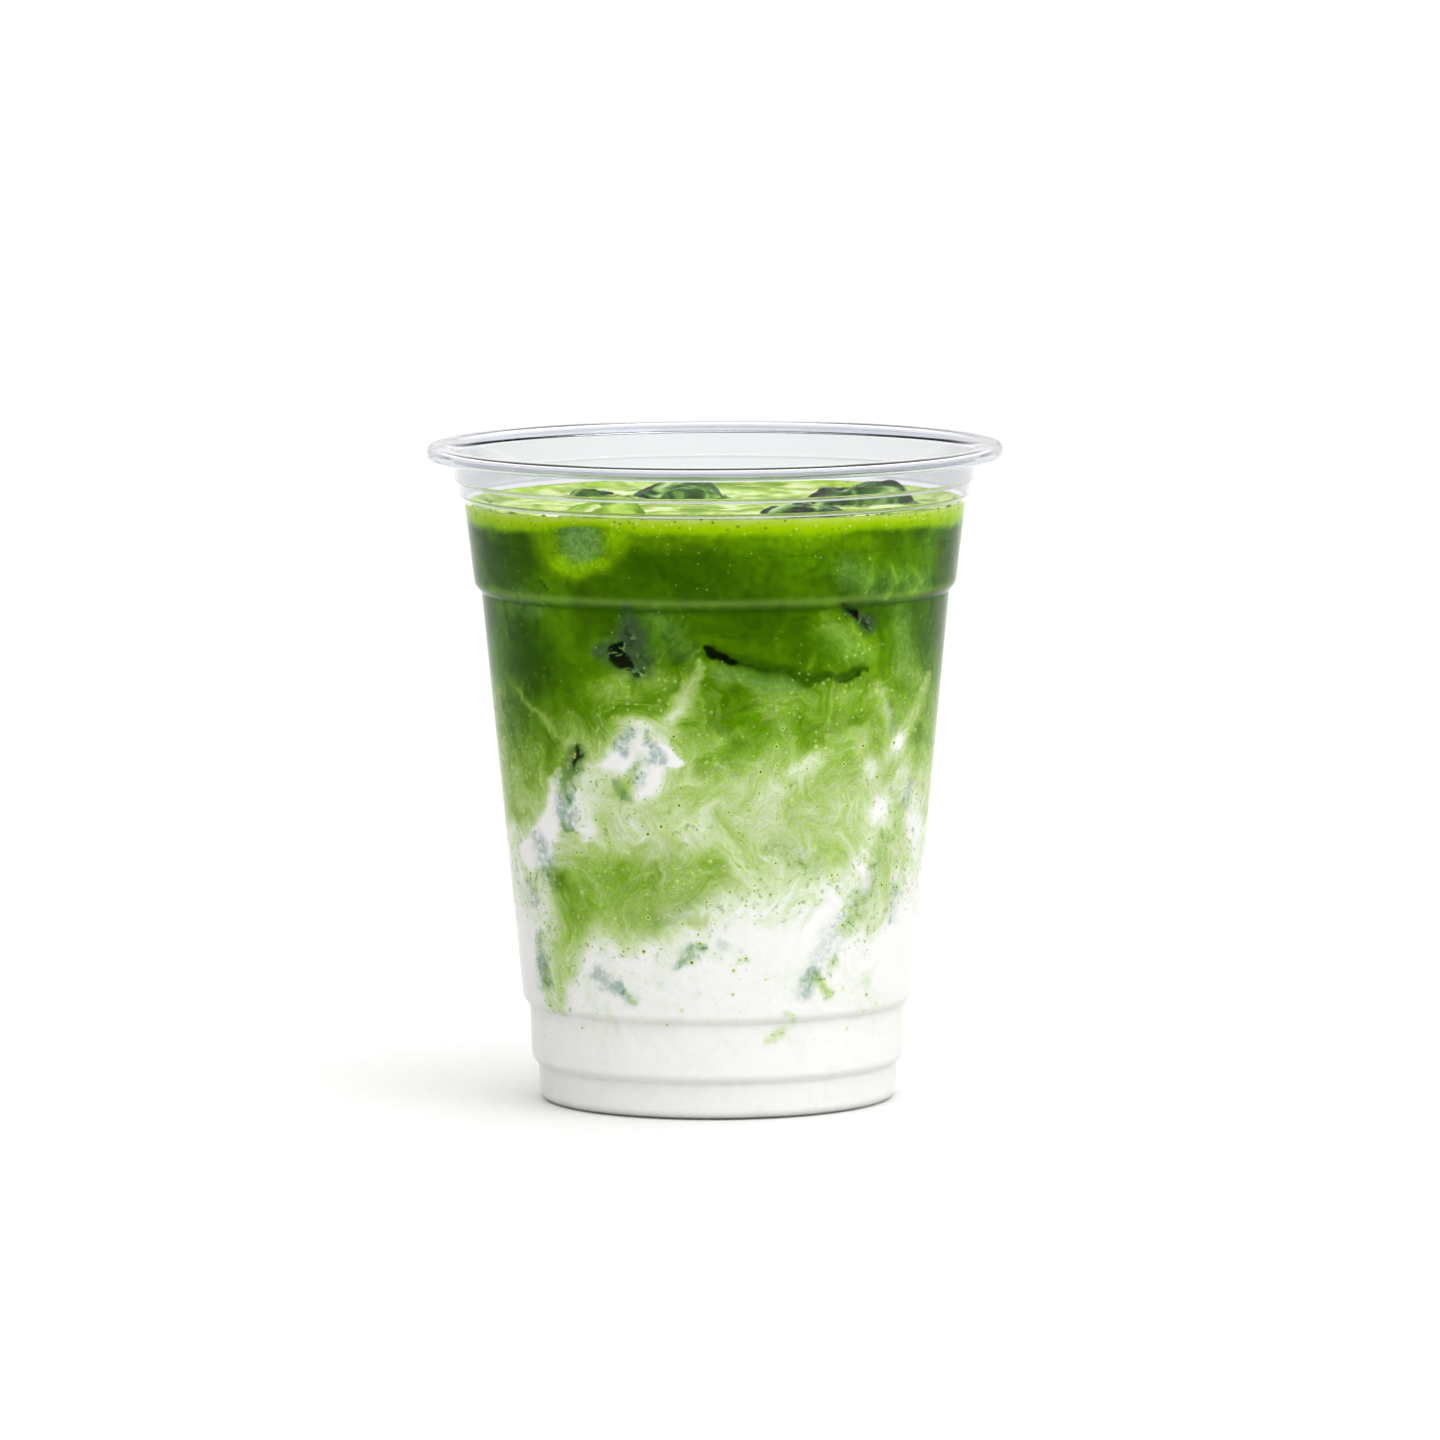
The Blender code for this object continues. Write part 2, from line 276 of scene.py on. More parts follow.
# what shows through the front of the cup, as soft strokes in mm as seen: how much, how soft, and a line
# of places across, places up and half widths
strokes = dict(
    # more or less matcha than the mean at that height
    matcha=(
        # billow
        (-0.46, 0.7, (-16.6, 63, 2.6), (-13.4, 65.2, 3.2), (-10.4, 62.8, 3), (-11.2, 58, 2.6)),
        (-0.42, 0.6, (-9.5, 62.2, 1.5), (-6.2, 61.4, 0.6)),
        # milk under it and down the left edge
        (-0.26, 0.6, (-16.5, 60.5, 2.2), (-21, 58.2, 2.8), (-23.6, 55, 2.4), (-22, 50, 1.6)),
        (-0.05, 0.9, (-18, 50, 2.6), (-12, 52.5, 2.4), (-5, 49, 3)),
        (-0.34, 0.5, (-26.8, 60.5, 0.7), (-27.6, 53, 1.5), (-30, 46.5, 2.6)),
        (-0.17, 0.9, (-34, 49, 2.6), (-33, 43, 4), (-33.5, 36, 5), (-33, 27, 5)),
        # pale streak that rises
        (-0.24, 0.9, (-2.4, 78.2, 0.6), (-4.6, 73, 1.5), (-8.6, 66.4, 1.4)),
        (-0.20, 0.9, (-6, 70, 1), (-11, 67.5, 0.8), (-17, 69, 0.7)),
        # vein at the left
        (-0.20, 0.9, (-33.4, 74.4, 0.35), (-31.4, 71.4, 0.4), (-29.4, 70.2, 0.5), (-27.2, 66.4, 0.6),
            (-25.4, 65.2, 1)),
        # pale band over the billow
        (-0.10, 0.9, (-20, 74, 1.6), (-8, 76, 2)),
        # wisps at the right
        (-0.20, 0.9, (27, 75, 0.6), (28.8, 69.5, 0.9), (30.2, 65.5, 1.3)),
        (-0.20, 0.9, (35.8, 77, 0.4), (33.6, 70, 0.8), (31, 65.5, 1.2), (27, 60.5, 1.6)),
        (-0.18, 0.9, (31, 65.5, 1), (32.4, 58, 1.3), (33.8, 52, 1.8)),
        (-0.16, 0.9, (24.5, 64, 1.2), (26.6, 57, 1.5), (28.6, 51, 1.6)),
        (-0.14, 0.9, (31, 60, 0.8), (27, 51, 1.3), (22, 42, 1.7), (17, 32, 1.6)),
        (-0.14, 0.9, (-34, 64, 0.5), (-33, 54, 0.9)),
        # milk at the right edge, and let in under the wisps
        (-0.20, 0.8, (34.8, 49, 2.4), (34, 38, 3.8), (33, 28, 5)),
        (-0.16, 0.8, (24, 66.5, 1.2), (18, 63.5, 1.4), (12, 57, 2)), (-0.06, 0.8, (8, 41, 4), (18, 39, 4)),
        (-0.12, 0.7, (3, 34.5, 4), (16, 33, 5)),
        # lit side of the sunk ice
        (-0.26, 0.9, (20, 83.4, 3), (25, 80.8, 3)), (-0.14, 0.9, (31, 85, 1.6), (32.6, 77, 2)),
        # pale curls by the shoulder
        (-0.26, 0.9, (24.6, 90.2, 0.5), (26.6, 93.4, 0.6), (25.8, 96.2, 0.4)),
        (-0.26, 0.9, (28.6, 89.6, 0.5), (30.4, 92.6, 0.6), (29.4, 95.2, 0.4)),
        (-0.26, 0.9, (33, 90.6, 0.4), (34.4, 93, 0.5), (33.2, 95, 0.4)),
        # deeper green at the left
        (0.17, 0.9, (-32, 80, 5), (-31, 70, 4.5), (-31.5, 60, 3.4), (-33, 54, 2.4)),
        (0.12, 0.8, (-22, 78, 4), (-22, 71, 4)),
        # dark swirl
        (0.17, 0.5, (3.4, 71, 3.2), (5.2, 66, 4), (2.4, 61.6, 3), (-2.4, 60.2, 2)),
        (0.08, 0.6, (14, 67, 2.4), (23, 63, 2.4)), (-0.08, 0.9, (18, 73, 2.4), (29, 72, 2.4)),
        (0.12, 0.6, (-27, 66, 1.8), (-27, 61, 1.6)), (0.14, 0.9, (-30, 31, 1.4), (-29.4, 24, 1.2)),
        # broad plume
        (0.24, 0.8, (-21, 42, 4.4), (-9, 40.5, 5.6), (-1, 43, 3.4)),
        (0.20, 0.8, (-20.5, 35, 3.4), (-15.5, 33.4, 3.4), (-11, 34.5, 2.4)),
        (0.34, 0.9, (-26, 41, 1.6), (-25, 34, 3), (-26.4, 27, 3), (-27.2, 21, 1.8)),
        (-0.05, 0.9, (28.6, 49, 1.6), (25.4, 40.5, 2.4)), (0.08, 0.9, (14, 55, 3), (20, 46, 3)),
        # scraps of green in the milk
        (0.20, 0.9, (16.8, 23.6, 1.1), (18.6, 21.4, 0.8)), (0.14, 0.9, (10.6, 15, 0.8), (8.2, 13.6, 0.6)),
        (0.14, 0.9, (-4.2, 33.8, 0.9), (-1.6, 34.4, 0.7)), (0.16, 0.9, (20.4, 27.6, 0.8), (19, 25.4, 0.7)),
        (0.14, 0.9, (-6.4, 26.8, 0.7), (-2.6, 29.6, 0.7)), (0.12, 0.9, (3.8, 27, 0.7), (4.8, 27.6, 0.6)),
        (0.12, 0.9, (-15.2, 22.6, 0.6), (-13.8, 20.6, 0.8)), (0.14, 0.9, (11.2, 18.4, 0.5), (12, 17, 0.6)),
    ),
    # cool shadows of ice sunk behind the milk
    cool=(
        (0.16, 0.9, (-16.6, 62, 1.8), (-12.8, 63.6, 2), (-11.6, 58.6, 1.6)),
        (0.8, 0.7, (-16.4, 64.2, 0.8), (-14.8, 66.4, 0.6)),
        (0.8, 0.7, (-11.4, 64.6, 0.5), (-10, 61.4, 0.7)), (0.9, 0.7, (-16.6, 58, 0.4), (-15.2, 55.8, 0.6)),
        (0.5, 0.8, (-13.4, 61, 0.7), (-12.6, 58.6, 0.7)),
        (1, 0.7, (-23.6, 63, 0.8), (-24.7, 60, 1.1), (-25.8, 55, 0.9), (-25.2, 50.4, 0.6)),
        (0.8, 0.8, (-30.2, 49.5, 0.5), (-28.6, 45, 0.9), (-27.2, 40, 0.7)),
        (0.7, 0.8, (-31.8, 41.4, 0.5), (-31.2, 37.8, 0.6)),
        (0.7, 0.9, (-29.9, 27.6, 0.5), (-29, 23.6, 0.7)),
        (0.7, 0.9, (-30, 32.4, 0.3), (-29.2, 28.4, 0.5), (-28.4, 24.2, 0.4)),
        (0.5, 0.9, (28.8, 48.4, 0.6), (27, 44, 0.8), (23.5, 37.5, 1.1), (19.5, 31, 1.1), (16.4, 25.4, 0.7)),
        (0.7, 0.8, (29.2, 71.4, 0.4), (29.8, 67.6, 0.5)), (0.8, 0.8, (34.2, 67.2, 0.5), (33.6, 64.6, 0.4)),
        (0.7, 0.8, (32.8, 58, 0.4), (31.6, 53.4, 0.5)), (0.6, 0.8, (30, 40, 0.4), (29.2, 35, 0.6)),
        (0.9, 0.9, (-6.8, 26.4, 0.4), (-5.4, 27.8, 0.8), (-2.5, 29.8, 0.4)),
        (0.7, 0.9, (0.8, 30.2, 0.5), (1.4, 29.8, 0.4)), (0.8, 0.8, (-19.6, 25, 0.8), (-17.8, 22.6, 0.8)),
        (0.7, 0.8, (-16.4, 23.2, 0.5), (-14.6, 20.8, 0.6)),
        (0.7, 0.8, (16.4, 24.8, 0.6), (14.6, 21.6, 0.8)),
        (0.5, 0.9, (-10.5, 33.8, 0.5), (-5.4, 35.8, 1), (-3.6, 38, 0.8)),
        (0.5, 0.9, (10, 47, 1.2), (16, 43, 1.2)),
    ),
    # painted shade: near-black where the gaps between ice and wall lie in shadow
    dark=(
        (1.4, 0.6, (-16.8, 80.6, 1.2), (-15.4, 78.6, 1.5)),
        (0.7, 0.9, (-14.2, 77.8, 0.7), (-12.2, 76.6, 0.8)),
        (0.5, 0.9, (-15.8, 84.4, 0.5), (-14.8, 82, 0.8)), (0.5, 0.9, (-12.6, 80.2, 0.5), (-11, 78.6, 0.6)),
        (1.2, 0.6, (-0.8, 80.4, 0.5), (0.8, 79.5, 0.9), (3.4, 78.4, 0.6)),
        (0.5, 0.9, (3.4, 78.4, 0.6), (9, 76.9, 0.5)),
        (0.7, 0.8, (20.4, 75.5, 0.25), (23.6, 76.2, 0.4), (25.8, 77.3, 0.4)),
        (1.2, 0.6, (21.2, 88.2, 0.35), (23.2, 87, 0.7)), (0.7, 0.9, (23.6, 86.4, 0.5), (25, 85.2, 0.8)),
        (0.8, 0.7, (-28.9, 92.4, 0.35), (-28.2, 91.4, 0.35)),
        (0.7, 0.7, (-29.2, 90.9, 0.25), (-29.2, 89.9, 0.25)),
        (0.9, 0.6, (-23.5, 64.6, 0.4), (-23.1, 63, 0.7), (-24.2, 60.8, 0.4)),
        (0.5, 0.7, (-27.4, 88.2, 0.3), (-27, 87, 0.3)),
    ),
    # painted shade: a slate-green haze of shadow round the gaps
    haze=(
        (0.8, 0.9, (-19.4, 80.2, 1.2), (-15.8, 80.6, 2.6), (-12.4, 78.6, 2.6)),
        (0.7, 0.9, (-15, 87.6, 0.8), (-14, 84, 2)), (0.9, 0.9, (22.6, 87.2, 0.8), (25.2, 85.4, 1.3)),
        (0.4, 0.9, (-23.4, 64, 1.4), (-24.4, 60, 1.2)),
    ),
    # folds in shade, of a deeper green
    shade=(
        (0.9, 0.8, (0.2, 79.8, 1), (6, 78.2, 1.5), (11.5, 76.6, 1.3), (14.6, 75.2, 1.1),
            (19, 75.9, 0.7), (25.4, 77.6, 0.6)),
        (0.6, 0.9, (-9, 83, 0.7), (-6, 79.6, 0.8), (-2.6, 80.6, 0.7)),
        (0.5, 0.9, (-22.9, 98.4, 1.4), (-22.2, 97.2, 1.2)), (0.5, 0.9, (-10, 96, 4), (-6, 92, 4)),
        (0.5, 0.9, (-36, 97, 4), (-31, 93, 3.6)), (0.6, 0.9, (-33, 85, 4), (-30, 76, 3.4)),
        (0.4, 0.9, (2, 86, 5), (10, 86, 4)), (0.4, 0.9, (0, 68, 1.4), (3, 64, 1.6)),
        (0.5, 0.9, (27.4, 85, 0.5), (28.4, 76, 0.7)),
    ),
    # yellow-green light that the ice lets through
    glow=(
        (0.6, 0.9, (-28.8, 101, 2.4), (-27.6, 97, 2.5), (-23.8, 95.2, 2.7), (-19.6, 96, 2.7),
            (-17, 100, 2.4)),
        (0.4, 0.9, (-26.6, 96, 1.1), (-23.2, 94.4, 1.4), (-19.6, 95, 1.1)),
        (0.4, 0.9, (-15, 99.4, 2.4), (-4, 100, 2), (10, 99.6, 2.2), (24, 99.4, 2)),
        (0.16, 0.9, (-24, 88, 2.6), (-21.5, 80, 4)), (0.14, 0.9, (8, 92, 3), (18, 92, 3)),
        (0.20, 0.9, (-20, 73, 1.6), (-10, 74.5, 1.6)), (0.30, 0.9, (12, 71, 2.4), (25, 71.5, 2.6)),
        (0.35, 0.9, (24, 82, 2.6), (29, 76, 2.4)), (0.25, 0.8, (-19, 33, 1.8), (-15, 31.6, 1.6)),
        (0.35, 0.9, (-26, 32, 1.4), (-26.5, 24, 1.6)),
    ),
    # grey-green where the ice touches the wall
    spot=(
        (0.95, 0.8, (-22.9, 101.8, 3), (-22.6, 98.8, 3.1)),
        (0.34, 0.9, (-10, 86.5, 2.2), (-7, 82.4, 2.8), (-3, 79.8, 1.4)),
        (0.38, 0.9, (22, 93.6, 3), (28, 91.4, 3), (34, 92.6, 2.6)),
        (0.55, 0.9, (1.4, 76.4, 1.2), (8, 74.4, 1.8), (13.4, 73.4, 1.2)),
        (0.35, 0.9, (20, 82, 3), (25, 79.4, 2)), (0.45, 0.9, (31.4, 86, 2), (32.4, 76, 2)),
        (0.35, 0.9, (-34, 90, 2.4), (-30, 87.6, 2)),
    ),
)


def ringPoint(along, height):
    # unrolled place to a place on a ring of the mean radius
    radius = marbling["meanRadius"]
    turn = along / radius
    return np.stack([np.sin(turn) * radius, -np.cos(turn) * radius, height], axis=-1)


def carriedBack(along, height, flows):
    # follows each point backwards through swirls that neither gather nor thin the drink: the flow is
    # the slope of a noise, turned by a quarter
    seed = marbling["flowSeed"]
    for size, reach, steps in flows:
        nudge = marbling["nudge"] * size
        for _ in range(steps):
            here = latticeNoise(ringPoint(along, height) / size, seed)
            up = latticeNoise(ringPoint(along, height + nudge) / size, seed)
            aside = latticeNoise(ringPoint(along + nudge, height) / size, seed)
            along = along + reach / steps * (up - here) * size / nudge
            height = height - reach / steps * (aside - here) * size / nudge
        seed += marbling["nextSeed"]
    return along, height


def drawn(across, rise, lines, spread):
    # adds up the strokes: each is full within its half width of its line and fades over its softness
    total = np.zeros(across.shape)
    for amount, soft, *line in lines:
        nearest = np.full(across.shape, np.inf)
        for (x0, y0, w0), (x1, y1, w1) in zip(line[:-1], line[1:]):
            share = ((across - x0) * (x1 - x0) + (rise - y0) * (y1 - y0)) / ((x1 - x0) ** 2 + (y1 - y0) ** 2)
            share = np.clip(share, 0, 1)
            gap = np.hypot(across - x0 - share * (x1 - x0), rise - y0 - share * (y1 - y0))
            nearest = np.minimum(nearest, gap / (w0 + share * (w1 - w0)) / spread)
        total += amount * (1 - smooth(1 - soft, 1 + soft, nearest))
    return total


def paintFields(turn, height):
    # what the material reads at each point of the drink's side, from its turn about Z and its height.
    # Each place is carried by gentle swirls, taken to where it is seen from the front, and painted with
    # the strokes; the back half has the same strokes mirrored
    m = marbling
    along, carried = carriedBack(turn * m["meanRadius"], height, m["gentle"])
    outline = cupOutline(drinkSizes["inWall"])
    outline = outline[outline[:, 1].argsort()]
    radius = np.interp(carried, outline[:, 1], outline[:, 0])
    radius = np.maximum(radius, cupSizes["footRadius"] - m["footInset"])
    facing = np.cos(along / m["meanRadius"])
    front = smooth(-m["frontEdge"], m["frontEdge"], facing)
    across = radius * np.sin(along / m["meanRadius"])
    rise = carried + m["seenHigher"] * radius * (1 - np.abs(facing))
    fields = {}
    for title, lines in strokes.items():
        spread = m["spread"].get(title, 1.0)
        fields[title] = drawn(across, rise, lines, spread) * front
        fields[title] += drawn(m["backAcross"] - across, rise + m["backUp"], lines, spread) * (1 - front)
    fields["matcha"] += np.interp(rise, *zip(*m["mixByHeight"]))
    # a painted highlight over the top of each of the three lowest ledges, and painted shade along the crease
    # at its foot
    fields["ledge"], fields["crease"] = 0 * height, 0 * height
    for _, foot, _, up, _ in cupSizes["ledges"][:3]:
        fields["ledge"] += np.exp(-((height - foot - up - m["ledgeOver"]) / m["ledgeWide"]) ** 2)
        fields["crease"] += np.exp(-((height - foot - m["creaseOver"]) / m["creaseWide"]) ** 2)
    along, carried = carriedBack(along, carried, m["strong"])
    fields["swirl"] = ringPoint(along, carried) * mm
    return fields


def drinkTurns(columns):
    # turns about Z from the back round to the back again, closer together at the front
    even = (np.arange(columns) + 0.5) / columns * 2 * math.pi - math.pi
    return even - drinkSizes["frontCrowding"] * np.sin(even)


# Ice, as melted boxes: sides, tilts about X, Y and Z, how square, and how far melting has dented it

iceCubes = dict(
    ice_middle=dict(sides=(19.5, 17.0, 18.0), tilts=(7, -9, 10), square=4.2, dents=0.9, seed=11),
    ice_right=dict(sides=(22.0, 18.0, 19.0), tilts=(-4, -11, 16), square=4.0, dents=1.0, seed=23),
    ice_front_right=dict(sides=(19.5, 16.0, 17.0), tilts=(4, 5, 12), square=4.0, dents=0.9, seed=37),
    ice_front_left=dict(sides=(18.0, 16.5, 18.5), tilts=(5, -5, -36), square=3.6, dents=0.7, seed=41),
    ice_small=dict(sides=(11.5, 10.0, 10.5), tilts=(-8, 9, 35), square=3.4, dents=0.6, seed=59),
)
iceGrid = dict(rows=96, columns=150, dentSize=7.0)


def iceTurn(cube):
    # the tilts about X, then Y, then Z, as one matrix
    x, y, z = (Matrix.Rotation(math.radians(angle), 3, axis) for angle, axis in zip(cube["tilts"], "XYZ"))
    return np.array(z @ y @ x)


def iceSurface(cube):
    # a rounded box: |x/a|^p + |y/b|^p + |z/c|^p = 1 along every direction, dented by noise, then tilted
    down = np.linspace(0, math.pi, iceGrid["rows"])[:, None]
    about = np.arange(iceGrid["columns"]) / iceGrid["columns"] * 2 * math.pi
    way = [np.sin(down) * np.cos(about), np.sin(down) * np.sin(about), np.cos(down) + 0 * about]
    way = np.stack(way, axis=-1)
    half = np.array(cube["sides"]) / 2
    reach = (np.abs(way / half) ** cube["square"]).sum(axis=-1) ** (-1 / cube["square"])
    shape = way * reach[..., None]
    dent = fractalNoise(shape, iceGrid["dentSize"], 3, cube["seed"]) * cube["dents"]
    return (shape + way * dent[..., None]) @ iceTurn(cube).T


def iceFit(name, cube):
    # the surface moved and stretched into its node's box, and the numbers that undo this
    shape = iceSurface(cube)
    low, high = (np.array(corner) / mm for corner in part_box(name))
    rawLow, rawHigh = shape.min(axis=(0, 1)), shape.max(axis=(0, 1))
    stretch = (high - low) / (rawHigh - rawLow)
    return (shape - rawLow) * stretch + low, (low, rawLow, stretch)


def iceDepth(x, y, z, cube, fit):
    # how far a place is from the ice's face, in mm: below 0 inside, from the rounded box's own formula
    low, rawLow, stretch = fit
    place = (np.stack([x, y, z + 0 * x], axis=-1) - low) / stretch + rawLow
    local = np.abs(place @ iceTurn(cube)) / (np.array(cube["sides"]) / 2)
    share = (local ** cube["square"]).sum(axis=-1) ** (1 / cube["square"])
    return (share - 1) * min(cube["sides"][:2]) / 2


iceShapes = {name: iceFit(name, cube) for name, cube in iceCubes.items()}


# Froth surface

froth = dict(
    swell=0.35, swellSize=9.0, swellSeed=71,  # slow unevenness
    grain=0.10, grainSize=1.6, grainSeed=81,  # fine foam
    calm=3.0,  # the unevenness fades out this near the wall
    farFromIce=9.0,  # mm that stand for no ice near
    pocketDepth=2.6, pocketFrom=-0.1, pocketTo=-1.5,  # how deep in the ice the pocket begins and is full
    cling=0.45, clingWidth=0.7, clingBend=1.2,  # how high it climbs the ice
    moundFull=0.1,  # a mound is full within this share of its radius
    # mounds over ice that only just stays under: x, y, radius, height
    mounds=(
        (-19.0, -25.0, 9.5, 2.4), (-3.5, -27.0, 8.0, 1.2), (-30.0, -4.0, 7.0, 0.6), (6.0, 30.0, 8.0, 0.5),
    ),
    openIce=("ice_middle", "ice_right", "ice_front_right", "ice_small"),
    # how far down the wall the foam shows, with waves, drips, and less over the ice at the left
    foamDepth=3.9, foamWave=0.3, foamWaves=5, foamDrip=0.7, dripSize=8.0, dripLong=0.3, dripSeed=91,
    foamLess=1.6, foamLessAt=-0.56, foamLessWidth=0.16,
    # how far foam reaches over the top from the wall, more at the front, and in patches, and within which
    # share of that reach it is full
    onTop=1.6, onTopFront=5.0, onTopWidth=1.1, onTopPatches=4.0, patchSize=6.0, patchSeed=97,
    leastOnTop=0.4, fullOnTop=0.4,
    # rows of the mesh: under it, up the wall, and over the top, closer together as far as the edge's share
    underRows=6, underFlat=4, wallRows=24, edgeRows=20, edgeShare=0.92, topRows=130,
)


def wallClimb(turn):
    # how far above the level the froth meets the wall: a low base, and more towards the front
    return drinkSizes["climb"] + drinkSizes["frontClimb"] * np.exp(-(turn / drinkSizes["frontWidth"]) ** 2)


def frothTop(x, y, wall):
    # height of the froth, how open it is over the ice, and how near the ice is: waves, mounds, the climb
    # at the wall, a collar round each cube that stands out, and a pocket inside the collar
    f = froth
    turn, radius = np.arctan2(x, -y), np.hypot(x, y)
    place = np.stack([x, y, 0 * x], axis=-1)
    calm = smooth(0, f["calm"], wall - radius)
    height = fractalNoise(place, f["swellSize"], 3, f["swellSeed"]) * f["swell"] * calm
    height += fractalNoise(place, f["grainSize"], 3, f["grainSeed"]) * f["grain"] * calm
    for mx, my, mr, rise in f["mounds"]:
        height += rise * (1 - smooth(f["moundFull"], 1.0, np.hypot(x - mx, y - my) / mr)) * calm
    fromWall = (wall - radius) / drinkSizes["meniscusWidth"]
    height += wallClimb(turn) * np.exp(-fromWall ** drinkSizes["meniscusBend"])
    pocket = np.zeros(x.shape)
    nearest = np.full(x.shape, f["farFromIce"])
    for name in f["openIce"]:
        depth = iceDepth(x, y, drinkSizes["level"] + 0 * x, iceCubes[name], iceShapes[name][1])
        height += f["cling"] * np.exp(-(np.maximum(depth, 0) / f["clingWidth"]) ** f["clingBend"]) * calm
        pocket = np.maximum(pocket, smooth(f["pocketFrom"], f["pocketTo"], depth))
        nearest = np.minimum(nearest, depth)
    return drinkSizes["level"] + height * (1 - pocket) - f["pocketDepth"] * pocket, pocket, nearest


def foamAt(turn, height):
    # froth seen through the wall: 1 where it meets the wall, falling to 0 a few mm below
    f = froth
    place = ringPoint(turn * marbling["meanRadius"], height)
    depth = f["foamDepth"] + f["foamWave"] * np.sin(f["foamWaves"] * turn + 1)
    depth -= f["foamLess"] * np.exp(-((turn - f["foamLessAt"]) / f["foamLessWidth"]) ** 2)
    drips = fractalNoise(place * np.array([1, 1, f["dripLong"]]), f["dripSize"], 3, f["dripSeed"])
    depth += f["foamDrip"] * drips
    return np.clip(1 - (drinkSizes["level"] + wallClimb(turn) - height) / depth, 0, 1)


# Materials

def linearColour(hexColour):
    # sRGB to linear: c / 12.92 up to 0.04045, else ((c + 0.055) / 1.055) ^ 2.4
    values = [int(hexColour[i:i + 2], 16) / 255 for i in (1, 3, 5)]
    return (*(v / 12.92 if v <= 0.04045 else ((v + 0.055) / 1.055) ** 2.4 for v in values), 1.0)


# what the wall does to a colour behind it: the share of light it sends back in, the light that falls
# on the cup, and the sheen on its outer face
wallEffects = dict(sentBack=0.33, light=1.05, sheen=0.010, brightest=0.98)


def throughPlastic(hexColour):
    # a surface a behind the wall shows as sheen + light (1 - s) a / (1 - s a), and this undoes it
    back, light, sheen = wallEffects["sentBack"], wallEffects["light"], wallEffects["sheen"]
    shown = [max(v - sheen, 0.0) / light for v in linearColour(hexColour)[:3]]
    return (*(min(v / (1 - back + back * v), wallEffects["brightest"]) for v in shown), 1.0)


def add(tree, kind, inputs=(), out=0, **settings):
    # adds one node with its settings, fills its inputs by number or name with values or links, and
    # hands back one of its outputs
    node = tree.nodes.new("ShaderNode" + kind)
    for key, value in settings.items():
        if key == "stops":
            ramp = node.color_ramp.elements
            while len(ramp) < len(value):
                ramp.new(0.5)
            for element, (place, colour) in zip(ramp, value):
                element.position = place
                element.color = colour
        else:
            setattr(node, key, value)
    for key, value in (inputs if isinstance(inputs, dict) else dict(enumerate(inputs))).items():
        if isinstance(value, bpy.types.NodeSocket):
            tree.links.new(value, node.inputs[key])
        else:
            node.inputs[key].default_value = value
    return node.outputs[out]


# words for the shader's sockets
socketNames = dict(
    rough="Roughness", ior="IOR", clear="Transmission Weight", sheen="Specular IOR Level", tint="Base Color",
)


def newMaterial(name, **numbers):
    # a material and its shader, with the shader's uniform numbers set
    material = bpy.data.materials.new(name)
    material.use_nodes = True
    shader = material.node_tree.nodes["Principled BSDF"]
    for title, value in numbers.items():
        shader.inputs[socketNames[title]].default_value = value
    return material, material.node_tree, shader


# settings that many nodes share
softStep = dict(interpolation_type="SMOOTHSTEP")
colourMix = dict(data_type="RGBA", out=2)
times = dict(operation="MULTIPLY")
plus = dict(operation="ADD")
minus = dict(operation="SUBTRACT")
timesPlus = dict(operation="MULTIPLY_ADD")

